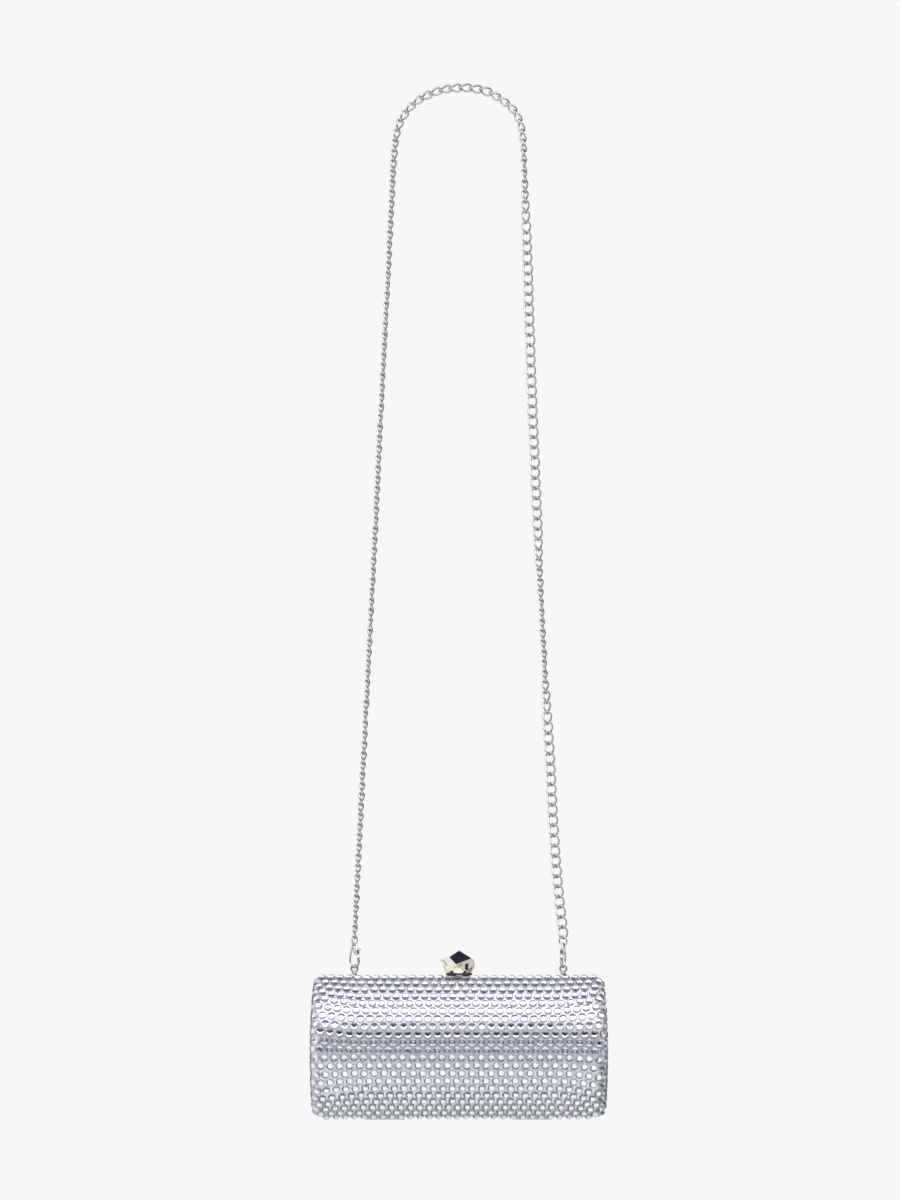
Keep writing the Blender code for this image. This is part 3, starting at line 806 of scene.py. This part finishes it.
def lean(up):
    k = (up / BAG_HALF_H) ** 2
    return 1.0 - (BULGE_TOP if up > 0 else BULGE_BOTTOM) * k / BAG_HALF_W


def on_case(s, turn, side):
    """A point of the stones' outer surface: s along X over the rounded end and
    on over the flat end, turn round the dome."""
    r = fillet(max(-1.0, min(1.0, turn / TURN_RIM)), 0.0)
    flat = BAG_HALF_W - r
    a = abs(s)
    if a <= flat:
        x, rho = a, ARC_R
    elif a <= flat + r * math.pi / 2:
        w = (a - flat) / r
        x, rho = flat + r * math.sin(w), ARC_R - r * (1 - math.cos(w))
    else:
        x, rho = BAG_HALF_W, ARC_R - r - (a - flat - r * math.pi / 2)
    up = rho * math.sin(turn)
    out = rho * math.cos(turn) - ARC_C
    return Vector((math.copysign(x, s) * lean(up), side * (RIM_Y + out), BAG_Z + up)), out


def case_normal(s, turn, side):
    e = 0.02
    a = on_case(s + e, turn, side)[0] - on_case(s - e, turn, side)[0]
    b = on_case(s, turn + e / ARC_R, side)[0] - on_case(s, turn - e / ARC_R, side)[0]
    n = a.cross(b).normalized()
    p, _ = on_case(s, turn, side)
    middle = Vector((p.x * 0.8, side * (RIM_Y - ARC_C) * 0.4, BAG_Z))
    return n if n.dot(p - middle) > 0 else -n


def layer(name, depths, side, mats, strips=48, curved=10, rings=6, across=1, relief=None, smooth=35):
    """One domed layer of the case, closed round the rim plane."""
    bm = bmesh.new()
    sheets = []
    for which, depth in enumerate(depths):
        one = [("end", k / rings) for k in range(rings)]
        one += [("round", math.radians(90.0 * (1 - k / curved))) for k in range(curved + 1)]
        sections = [(-1.0, *s, 0.0) for s in one]
        sections += [(0.0, "flat", 0.0, k / across) for k in range(1, across)]
        sections += [(1.0, *s, 0.0) for s in reversed(one)]

        def point(section, v):
            sign, kind, value, share = section
            radius, end = ARC_R - depth, BAG_HALF_W - depth

            def at(w):
                r = fillet(w, depth)
                if kind == "round":
                    return end - r * (1 - math.sin(value)), radius - r * (1 - math.cos(value))
                if kind == "flat":
                    return (end - r) * (2 * share - 1), radius
                return end, ARC_C + (radius - r - ARC_C) * value

            x, rho = at(v)
            rim = at(1.0 if v > 0 else -1.0)[1]
            most = math.acos(min(1.0, ARC_C / max(rim, ARC_C)))
            if kind == "end" and value == 0.0:
                most, rho = 0.0, ARC_C
            turn = v * most
            up = rho * math.sin(turn)
            out = rho * math.cos(turn) - ARC_C
            if abs(abs(v) - 1.0) < 1e-9:
                out = 0.0
            if kind != "flat":
                x = sign * x
            if relief is not None and which == 1 and out > 1.0:
                out -= relief(x, up) * min(1.0, (out - 1.0) / 4.0)
            return Vector((x * lean(up), side * (RIM_Y + out), BAG_Z + up))

        grid = []
        for i, section in enumerate(sections):
            if i in (0, len(sections) - 1):
                grid.append([bm.verts.new(point(section, 0.0))])
            else:
                grid.append(
                    [bm.verts.new(point(section, 2 * j / strips - 1)) for j in range(strips + 1)]
                )
        for i in range(len(grid) - 1):
            a, b = grid[i], grid[i + 1]
            for j in range(strips):
                if len(a) == 1:
                    bm.faces.new((a[0], b[j], b[j + 1]))
                elif len(b) == 1:
                    bm.faces.new((a[j], b[0], a[j + 1]))
                else:
                    bm.faces.new((a[j], b[j], b[j + 1], a[j + 1]))
        sheets.append([g[0] for g in grid] + [g[-1] for g in reversed(grid[1:-1])])
    outer, inner = sheets
    for i in range(len(outer)):
        k = (i + 1) % len(outer)
        bm.faces.new((outer[i], outer[k], inner[k], inner[i]))
    return from_bmesh(name, bm, mats, smooth)


def puckers(x, up):
    """Soft gathers of the satin towards the rim and a slow swell between."""
    side_gap, top_gap = BAG_HALF_W - abs(x), BAG_HALF_H - abs(up)
    along = x if top_gap < side_gap else up
    gap = max(0.0, min(side_gap, top_gap) - 4.7)
    pleat = math.sin(2 * math.pi * along / 6.1 + 1.7 * math.sin(along / 8.3) + 0.9 * math.sin(x / 31))
    pleat *= 0.2 * math.exp(-gap / 6.5)
    swell = 0.24 * math.sin(x / 12.0 + up / 19.0) * math.sin(up / 11.0 - x / 27.0)
    return pleat + swell


# ------------------------------------------------------------------ stones
STONE_R, STONE_H = 2.14, 1.62
# each row from the top: a stone's place and the spacing, in millimetres along X
ROWS = [
    (-40.4, 5.62),
    (-32.2, 5.64),
    (-35.4, 5.66),
    (-32.6, 5.78),
    (-35.8, 5.78),
    (-33.2, 5.84),
    (-36.4, 5.86),
    (-33.6, 5.93),
    (-36.6, 5.93),
    (-33.7, 5.93),
    (-36.7, 5.93),
    (-33.9, 5.92),
    (-30.5, 5.90),
    (-27.7, 5.90),
    (-30.8, 5.90),
    (-27.4, 5.89),
    (-30.2, 5.87),
    (-27.3, 5.84),
    (-29.7, 5.76),
    (-32.4, 5.76),
    (-29.6, 5.72),
]
# how far each row has bent up at the left and the right end, in millimetres
BEND_LEFT = [0.3, 1.4, 2.4, 3.4, 3.9, 3.3, 2.3, 1.9, 2.3, 1.5, 0.9]
BEND_LEFT += [0.0, -0.3, -1.1, -1.5, -2.1, -2.9, -2.7, -2.0, -1.1, -0.3]
BEND_RIGHT = [0.3, 1.2, 2.2, 3.0, 3.1, 2.7, 2.1, 0.7, 0.3, -0.3, -0.6]
BEND_RIGHT += [-1.5, -1.8, -2.5, -2.9, -3.4, -3.3, -2.9, -2.1, -1.2, -0.3]


def settle_stones(places, side, passes, room):
    """Pushes apart the stones near the ends that crowd each other."""
    s, turn = places[:, 0].copy(), places[:, 1].copy()
    free = np.clip((np.abs(s) - 50.0) / 14.0, 0.0, 1.0)
    moving = np.nonzero(free > 0)[0]
    for _ in range(passes):
        pts = np.array([on_case(u, v, side)[0] for u, v in zip(s, turn)])
        for i in moving:
            gap = pts[i] - pts
            far = np.sqrt((gap * gap).sum(axis=1))
            near = (far < room) & (far > 1e-6)
            if not near.any():
                continue
            push = ((room - far[near]) / far[near])[:, None] * gap[near]
            push = push.sum(axis=0) * 0.22 * free[i]
            along = np.array(on_case(s[i] + 0.1, turn[i], side)[0]) - pts[i]
            round_ = np.array(on_case(s[i], turn[i] + 0.002, side)[0]) - pts[i]
            ds = push @ along / (along @ along) * 0.1
            dt = push @ round_ / (round_ @ round_) * 0.002
            was = s[i], turn[i]
            s[i] += max(-0.6, min(0.6, ds))
            turn[i] += max(-0.012, min(0.012, dt))
            _, out = on_case(s[i], turn[i], side)
            if out < 1.0 or abs(turn[i]) > 0.955 * TURN_RIM:
                s[i], turn[i] = was
    return np.column_stack([s, turn])


def stone_places(side):
    """Centre, normal of every stone of a half."""
    places = []
    points = np.zeros((0, 3))

    def put(s, turn, gap):
        nonlocal points
        p, out = on_case(s, turn, side)
        if out < 1.0 or abs(turn) > TURN_RIM:
            return
        here = np.array(p)
        if len(points) and np.min(np.linalg.norm(points - here, axis=1)) < gap:
            return
        places.append((s, turn))
        points = np.vstack([points, here])

    for k, (start, pitch) in enumerate(ROWS):
        if side > 0:
            start += 0.7
        turn0 = (10 - k) * 4.995 / ARC_R
        first = math.ceil((-112 - start) / pitch)
        for i in range(first, first + 60):
            s = start + i * pitch + rng.normal(0, 0.10)
            limit = BAG_HALF_W + FILLET_MID * (math.pi / 2 - 1) + 1.0
            if abs(s) > limit:
                continue
            left = (s < 0) if side < 0 else (s > 0)
            bend = (BEND_LEFT if left else BEND_RIGHT)[k]
            w = min(1.0, max(0.0, (abs(s) - 58.0) / 27.0)) ** 1.5
            turn = turn0 + (bend * w + rng.normal(0, 0.09)) / (ARC_R * max(0.5, math.cos(turn0)))
            put(s, turn, 4.75)
    # the flat ends, filled ring by ring from the rounded edge inwards
    for sign in (-1.0, 1.0):
        for ring in range(60):
            edge = BAG_HALF_W - FILLET_MID + FILLET_MID * math.pi / 2
            s = edge + 0.3 + ring * 0.35
            for j in range(160):
                turn = 0.95 * TURN_RIM * (2 * ((j * 61) % 160) / 159 - 1)
                r = fillet(turn / TURN_RIM, 0.0)
                here = s + (r - FILLET_MID) * (math.pi / 2 - 1)
                put(sign * here, turn, 5.05)
    # stones set where the bent rows leave room towards the ends
    for gap in (4.7, 4.3, 4.1):
        for sign in (-1.0, 1.0):
            for j in range(121):
                turn = 0.95 * TURN_RIM * (1 - 2 * j / 120)
                for i in range(110):
                    put(sign * (52.0 + 0.35 * i), turn, gap)
        done = settle_stones(np.array(places), side, 14, 5.3)
        places = [tuple(q) for q in done]
        points = np.array([on_case(u, v, side)[0] for u, v in places])
    return [(on_case(u, v, side)[0], case_normal(u, v, side)) for u, v in places]


def stones(name, side):
    count = 8
    rings = []
    step = 2 * math.pi / count

    def circle(n, r, z, off=0.0):
        return [
            (r * math.cos(2 * math.pi * (i + off) / n), r * math.sin(2 * math.pi * (i + off) / n), z)
            for i in range(n)
        ]

    table = circle(8, 1.08, STONE_H)
    star = circle(8, 1.46, 1.49, 0.5)
    crown = circle(8, 1.78, 1.22)
    girdle = circle(16, STONE_R, 0.66)
    foot = circle(16, STONE_R - 0.03, 0.0)
    heart = circle(16, 1.54, 0.0)
    shape = np.array(table + star + crown + girdle + foot + heart)
    t0, a0, b0, g0, f0, h0 = 0, 8, 16, 24, 40, 56
    faces, kinds = [tuple(range(8))], [0]
    for i in range(8):
        j = (i + 1) % 8
        h = (i - 1) % 8
        g = [g0 + (2 * i + k) % 16 for k in (-1, 0, 1, 2)]
        faces.append((t0 + i, a0 + i, t0 + j))
        faces.append((t0 + i, a0 + h, b0 + i))
        faces.append((t0 + i, b0 + i, a0 + i))
        faces.append((b0 + i, g[0], g[1]))
        faces.append((b0 + i, g[1], g[2]))
        faces.append((b0 + i, g[2], a0 + i))
        faces.append((a0 + i, g[2], b0 + j))
        kinds += [0] * 7
    for i in range(16):
        j = (i + 1) % 16
        faces.append((g0 + i, f0 + i, f0 + j, g0 + j))
        faces.append((f0 + i, h0 + i, h0 + j, f0 + j))
        kinds += [2, 2]
    faces.append(tuple(h0 + i for i in range(15, -1, -1)))
    kinds.append(1)
    ring = [(2.44, -0.30), (2.48, 0.10), (2.40, 0.36), (2.26, 0.45), (2.17, 0.34), (2.15, -0.30)]
    cup = np.array([q for r, z in ring for q in circle(16, r, z)])
    cup_faces = []
    for m in range(6):
        w = (m + 1) % 6
        for i in range(16):
            j = (i + 1) % 16
            cup_faces.append((m * 16 + i, m * 16 + j, w * 16 + j, w * 16 + i))
    cup_verts, cup_all = [], []
    verts, all_faces, all_kinds = [], [], []
    places = stone_places(side)
    for p, n in places:
        n = Vector(n)
        a = n.orthogonal().normalized()
        b = n.cross(a)
        tip = n + a * rng.normal(0, 0.016) + b * rng.normal(0, 0.016)
        tip.normalize()
        spin = rng.uniform(0, 2 * math.pi)
        a = tip.orthogonal().normalized()
        b = tip.cross(a)
        u = a * math.cos(spin) + b * math.sin(spin)
        v = tip.cross(u)
        size = 1.0 + rng.normal(0, 0.008)
        at = Vector(p) - n * (STONE_H + 0.02)
        base = len(cup_verts)
        cup_verts.extend(cup @ np.array([u, v, tip]) + np.array(at))
        cup_all.extend(tuple(base + k for k in f) for f in cup_faces)
        base = len(verts)
        verts.extend(shape @ (np.array([u, v, tip]) * size) + np.array(at))
        all_faces.extend(tuple(base + k for k in f) for f in faces)
        all_kinds.extend(kinds)
    obj = from_lists(name, verts, all_faces, [GLASS, FOIL, EDGE], all_kinds)
    return obj, (cup_verts, cup_all)


# --------------------------------------------------------------------- knob
def knob_at(px, py, y):
    """A point of the knob from its place in the front view and its depth."""
    up = ((1046.9 - py) * 0.608 - y * 0.0767) / 0.997
    return Vector(((px - 458.8) * 0.608, y, BAG_Z + up))


def knob_on(px, py, normal, through):
    """A point of the knob that lies in a plane."""
    start, step = knob_at(px, py, 0.0), Vector((0.0, 1.0, -0.0767 / 0.997))
    n = Vector(normal)
    return start + step * (n.dot(through - start) / n.dot(step))


def knob_hull(points, mat):
    bm = bmesh.new()
    add_hull(bm, points)
    return from_bmesh("hull", bm, [mat])


def knob():
    """An irregular nugget with flat facets, hollow underneath."""

    def roof(px, py):
        return knob_at(px, py, 3.5 - 13.0 * (py - 950.9) / 13.6)

    nose = knob_at(455.9, 964.8, -9.5)

    def cheek(px, py):
        return knob_on(px, py, (-0.66, -0.75, 0.03), nose)

    low = [knob_at(463.6, 973.7, -6.9), knob_at(470.9, 973.0, -3.3)]
    left_low = [knob_at(453.6, 973.6, -7.5), knob_at(447.4, 973.4, -4.4)]
    base = [
        Vector((-8.0, -2.2, BAG_Z + 45.4)),
        Vector((7.8, -3.0, BAG_Z + 45.4)),
        Vector((-8.6, 3.6, BAG_Z + 46.6)),
        Vector((7.6, 3.8, BAG_Z + 46.6)),
        Vector((-4.6, 6.4, BAG_Z + 46.8)),
        Vector((4.2, 6.5, BAG_Z + 46.8)),
    ]
    main = [
        roof(459.1, 950.7),
        roof(449.3, 957.4),
        nose,
        roof(471.5, 958.75),
        knob_at(473.9, 959.8, -3.0),
        knob_at(475.0, 966.0, -2.5),
        cheek(453.2, 970.6),
        knob_at(463.4, 971.7, -7.4),
        knob_at(471.2, 971.4, -3.6),
        Vector((-5.4, 3.0, BAG_Z + 54.0)),
        Vector((8.9, 3.4, BAG_Z + 52.0)),
        Vector((-3.4, 6.4, BAG_Z + 53.6)),
        Vector((4.4, 6.2, BAG_Z + 54.2)),
    ]
    wing = [
        knob_at(440.5, 959.5, -1.0),
        cheek(443.1, 961.0),
        cheek(446.8, 957.0),
        cheek(449.2, 957.5),
        nose,
        cheek(453.2, 970.6),
        cheek(447.9, 969.0),
        knob_at(446.0, 972.6, -4.2),
        Vector((-9.6, 3.0, BAG_Z + 51.6)),
        Vector((-5.4, 3.6, BAG_Z + 52.6)),
    ]
    body = knob_hull(main + low + left_low[:1] + base, NICKEL_KNOB)
    body.name = body.data.name = "knob_faceted"
    carve(body, "UNION", knob_hull(wing + left_low + base[:3:2], NICKEL_KNOB))

    def pocket(corners, lean_deg, deep=0.05):
        """A small facet cut in the front, leaning back by lean_deg."""
        tree = BVHTree.FromObject(body, bpy.context.evaluated_depsgraph_get())
        slope = math.tan(math.radians(lean_deg))
        flat = [knob_at(px, py, -8.5) for px, py in corners]
        zc = sum(q.z for q in flat) / len(flat)
        far = -20.0
        for q in flat:
            hit = tree.ray_cast(Vector((q.x, -25.0, q.z)) * MM, Vector((0, 1, 0)))[0]
            if hit is not None:
                far = max(far, hit.y / MM - slope * (q.z - zc))
        far += deep
        bm = bmesh.new()
        front = [bm.verts.new((q.x, -22.0, q.z)) for q in flat]
        back = [bm.verts.new((q.x, far + slope * (q.z - zc), q.z)) for q in flat]
        bm.faces.new(front)
        bm.faces.new(list(reversed(back)))
        for i in range(len(flat)):
            j = (i + 1) % len(flat)
            bm.faces.new((front[j], front[i], back[i], back[j]))
        return from_bmesh("pocket", bm, [NICKEL_KNOB])

    marks = [
        [(443.0, 961.0), (443.7, 960.8), (448.2, 968.3), (447.7, 968.7)],
        [(457.6, 965.1), (458.1, 965.6), (454.4, 968.8), (453.9, 968.4)],
        [(461.3, 963.8), (463.0, 963.3), (459.2, 967.3), (457.4, 968.9), (457.3, 968.2)],
        [(465.2, 963.6), (468.4, 963.2), (468.0, 970.9), (464.9, 970.4)],
    ]
    for corners in marks:
        carve(body, "DIFFERENCE", pocket(corners, 13.0))
    cx = CLASP_X
    hollow, belly, bore = bmesh.new(), bmesh.new(), bmesh.new()
    add_box(hollow, (cx - 6.4, cx + 6.6), (-4.0, 4.9), (BAG_Z + 40, BAG_Z + 49.9))
    add_box(belly, (cx - 14, cx + 14), (-6.0, 9.0), (BAG_Z + 40, BAG_Z + 45.35))
    add_cylinder(bore, (cx, 1.1, BAG_Z + 52.0), (0, 0, 1), 1.0, 6.0, 24)
    for bm in (hollow, belly, bore):
        carve(body, "DIFFERENCE", from_bmesh("cut", bm, [NICKEL_KNOB]))
    edge = body.modifiers.new("edge", "BEVEL")
    edge.width = 0.06 * MM
    edge.segments = 2
    edge.limit_method = "ANGLE"
    edge.angle_limit = math.radians(24.0)
    edge.use_clamp_overlap = True
    edge.harden_normals = False
    settle(body)
    return body


def knob_shade_ovals():
    """Two dark ovals under the knob: painted shade, black shapes standing in for the shade under the
    knob's undercut.
    """
    bm = bmesh.new()
    for x, wide in ((-4.75, 3.3), (5.15, 3.2)):
        made = bmesh.ops.create_uvsphere(bm, u_segments=36, v_segments=18, radius=1.0)
        for v in made["verts"]:
            q = v.co
            round_ = 0.86 if q.z < 0 else 1.0
            v.co = Vector((x + q.x * wide, -7.2 + q.y * 1.2 * round_, BAG_Z + 44.7 + q.z * 1.05))
    return from_bmesh("knob_shade_ovals", bm, [SHADE_BLACK], 180)


# ------------------------------------------------------- build: cord first
links, route, chain_length = chain_strap()
piece(links, "chain", "chain", "chain_strap")
for side in ("left", "right"):
    piece(jump_ring(side), "chain", "hardware", f"{side}_jump_ring")

for word, side, body in (("front", -1, "front_half"), ("back", 1, "back_half")):
    obj, cups = stones(f"{word}_stones", side)
    piece(obj, body, "crystal", f"{word}_crystal_cover")
    net = layer(f"{word}_stone_net", (1.76, 2.12), side, [NET])
    merge(net, from_lists("cups", *cups, [NET], smooth=60))
    piece(net, body, "crystal", f"{word}_crystal_cover")

claws, gates = [], []
for side in ("left", "right"):
    claws.append(piece(claw(side), "back_half", "hardware", f"{side}_claw"))
    gates.append(piece(trigger(side), f"{side}_trigger_body", "hardware", f"{side}_trigger"))
    piece(eye_post(side), "back_half", "hardware", f"{side}_eye")

for word, side, body in (("front", -1, "front_half"), ("back", 1, "back_half")):
    cloth = layer(
        f"{word}_lining_satin", (3.9, 4.7), side, [SATIN], strips=72, across=120, relief=puckers, smooth=40
    )
    piece(cloth, body, "lining", f"{word}_lining")

piece(knob(), "latch", "knob", "clasp_knob")
# the two black ovals under the knob are painted shade
piece(knob_shade_ovals(), "latch", "steel")

# ------------------------------------------- finishes of the CAD's own nodes
LOOKS = {
    "left_claw_rivet": STEEL,
    "right_claw_rivet": STEEL,
    "left_claw_spring": STEEL,
    "right_claw_spring": STEEL,
    "back_shell": ALUMINIUM,
    "front_shell": ALUMINIUM,
    "back_frame": NICKEL_FRAME,
    "front_frame": NICKEL_FRAME,
    "left_hinge_back_leaf": STEEL,
    "right_hinge_back_leaf": STEEL,
    "left_hinge_front_leaf": STEEL,
    "right_hinge_front_leaf": STEEL,
    "left_hinge_pin": STEEL,
    "right_hinge_pin": STEEL,
    "catch_plate": NICKEL,
    "clasp_bracket": NICKEL,
    "clasp_pin": STEEL,
    "clasp_spring": STEEL,
    "clasp_lever": NICKEL,
    "clasp_screw": STEEL,
}
for name, look in LOOKS.items():
    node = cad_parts[name]
    if len(node.data.materials) == 0:
        node.data.materials.append(look)
    for i in range(len(node.data.materials)):
        node.data.materials[i] = look

# ------------------------------------------------------------ studio and floor
PALE = (0.930, 0.930, 0.930)


def studio():
    """Soft studio: a broad bank of light over the front, a white table below,
    a white wall behind, and dark room elsewhere."""
    world = bpy.data.worlds.new("studio")
    bpy.context.scene.world = world
    world.use_nodes = True
    tree = world.node_tree
    tree.nodes.clear()

    def add(kind, **values):
        node = tree.nodes.new(kind)
        for key, value in values.items():
            setattr(node, key, value)
        return node

    def link(a, b):
        tree.links.new(a, b)

    def calc(op, a, b=None, c=None):
        node = add("ShaderNodeMath", operation=op)
        for i, value in enumerate((a, b, c)):
            if value is None:
                continue
            if isinstance(value, (int, float)):
                node.inputs[i].default_value = value
            else:
                link(value, node.inputs[i])
        return node.outputs[0]

    def smooth(value, a, b):
        node = add("ShaderNodeMapRange", interpolation_type="SMOOTHSTEP")
        node.inputs["From Min"].default_value = a
        node.inputs["From Max"].default_value = b
        link(value, node.inputs["Value"])
        return node.outputs["Result"]

    split = add("ShaderNodeSeparateXYZ")
    link(add("ShaderNodeTexCoord").outputs["Generated"], split.inputs[0])
    x, y, z = split.outputs
    angle = calc("ARCTAN2", z, calc("MULTIPLY", y, -1.0))
    around = calc("DIVIDE", calc("ADD", calc("MULTIPLY", angle, 180 / math.pi), 180.0), 360.0)
    band = add("ShaderNodeValToRGB")
    link(around, band.inputs["Fac"])
    stops = [
        (-180, (0.85, 0.86, 0.87)),
        (-150, (0.78, 0.79, 0.80)),
        (-126, (0.60, 0.605, 0.62)),
        (-112, (0.60, 0.61, 0.62)),
        (-103, (0.70, 0.715, 0.73)),
        (-92, (1.04, 1.07, 1.08)),
        (-76, (1.10, 1.14, 1.15)),
        (-46, (1.08, 1.12, 1.125)),
        (-17, (1.02, 1.05, 1.06)),
        (-13, (0.62, 0.64, 0.66)),
        (-10, (0.08, 0.085, 0.10)),
        (4, (0.03, 0.036, 0.055)),
        (28, (0.03, 0.04, 0.065)),
        (32, (1.95, 1.88, 1.97)),
        (60, (2.1, 2.02, 2.12)),
        (77, (2.05, 1.98, 2.08)),
        (84, (1.0, 1.03, 1.12)),
        (88, (0.16, 0.19, 0.25)),
        (93, (0.03, 0.04, 0.065)),
        (100, (0.36, 0.40, 0.47)),
        (105, (0.34, 0.38, 0.45)),
        (108, (0.022, 0.032, 0.055)),
        (134, (0.022, 0.032, 0.055)),
        (144, (0.30, 0.31, 0.33)),
        (156, (0.74, 0.75, 0.77)),
        (180, (0.85, 0.86, 0.87)),
    ]
    ramp = band.color_ramp
    while len(ramp.elements) < len(stops):
        ramp.elements.new(0.5)
    for element, (at, color) in zip(ramp.elements, stops):
        element.position = (at + 180) / 360
        element.color = (*color, 1.0)
    flank = smooth(calc("ABSOLUTE", x), 0.60, 0.86)
    sides = add("ShaderNodeMix", data_type="RGBA")
    link(flank, sides.inputs["Factor"])
    link(band.outputs["Color"], sides.inputs[6])
    flank_light = calc("MULTIPLY_ADD", calc("SIGN", x), -0.15, 0.83)
    grey = add("ShaderNodeCombineColor")
    for i in range(3):
        link(flank_light, grey.inputs[i])
    link(grey.outputs[0], sides.inputs[7])
    # the table ends on the right, and dark room lies beyond it
    under = calc("MULTIPLY", smooth(x, 0.30, 0.46), smooth(z, -0.16, -0.30))
    dark = add("ShaderNodeMix", data_type="RGBA")
    link(under, dark.inputs["Factor"])
    link(sides.outputs[2], dark.inputs[6])
    dark.inputs[7].default_value = (0.11, 0.105, 0.11, 1.0)
    # the grey patch round the camera
    off = calc(
        "SQRT",
        calc(
            "ADD",
            calc("POWER", calc("MULTIPLY", x, 1.25), 2.0),
            calc("POWER", calc("SUBTRACT", z, 0.06), 2.0),
        ),
    )
    near = calc("MULTIPLY", calc("SUBTRACT", 1.0, smooth(off, 0.15, 0.21)), calc("LESS_THAN", y, 0.0))
    patch = add("ShaderNodeMix", data_type="RGBA")
    link(near, patch.inputs["Factor"])
    link(dark.outputs[2], patch.inputs[6])
    patch.inputs[7].default_value = (0.50, 0.515, 0.54, 1.0)
    room = add("ShaderNodeBackground")
    link(patch.outputs[2], room.inputs["Color"])
    plain = add("ShaderNodeBackground")
    plain.inputs["Color"].default_value = (*PALE, 1.0)
    mix = add("ShaderNodeMixShader")
    link(add("ShaderNodeLightPath").outputs["Is Camera Ray"], mix.inputs["Fac"])
    link(room.outputs[0], mix.inputs[1])
    link(plain.outputs[0], mix.inputs[2])
    link(mix.outputs[0], add("ShaderNodeOutputWorld").inputs["Surface"])


studio()

pale = bpy.data.materials.new("pale_floor")
pale.use_nodes = True
tree = pale.node_tree
tree.nodes.clear()
glow = tree.nodes.new("ShaderNodeEmission")
glow.inputs["Color"].default_value = (*PALE, 1.0)
clear = tree.nodes.new("ShaderNodeBsdfTransparent")
geometry = tree.nodes.new("ShaderNodeNewGeometry")
mixer = tree.nodes.new("ShaderNodeMixShader")
out = tree.nodes.new("ShaderNodeOutputMaterial")
tree.links.new(geometry.outputs["Backfacing"], mixer.inputs["Fac"])
tree.links.new(glow.outputs[0], mixer.inputs[1])
tree.links.new(clear.outputs[0], mixer.inputs[2])
tree.links.new(mixer.outputs[0], out.inputs["Surface"])
bm = bmesh.new()
bmesh.ops.create_circle(bm, cap_ends=True, segments=96, radius=9000.0)
for v in bm.verts:
    v.co.z = -1900.0
floor = from_bmesh("floor", bm, [pale])
for ray in ("visible_diffuse", "visible_glossy", "visible_transmission", "visible_shadow"):
    setattr(floor, ray, False)

view = bpy.context.scene.view_settings
view.view_transform = "Standard"
view.look = "None"
view.exposure = 0.0
view.gamma = 1.0
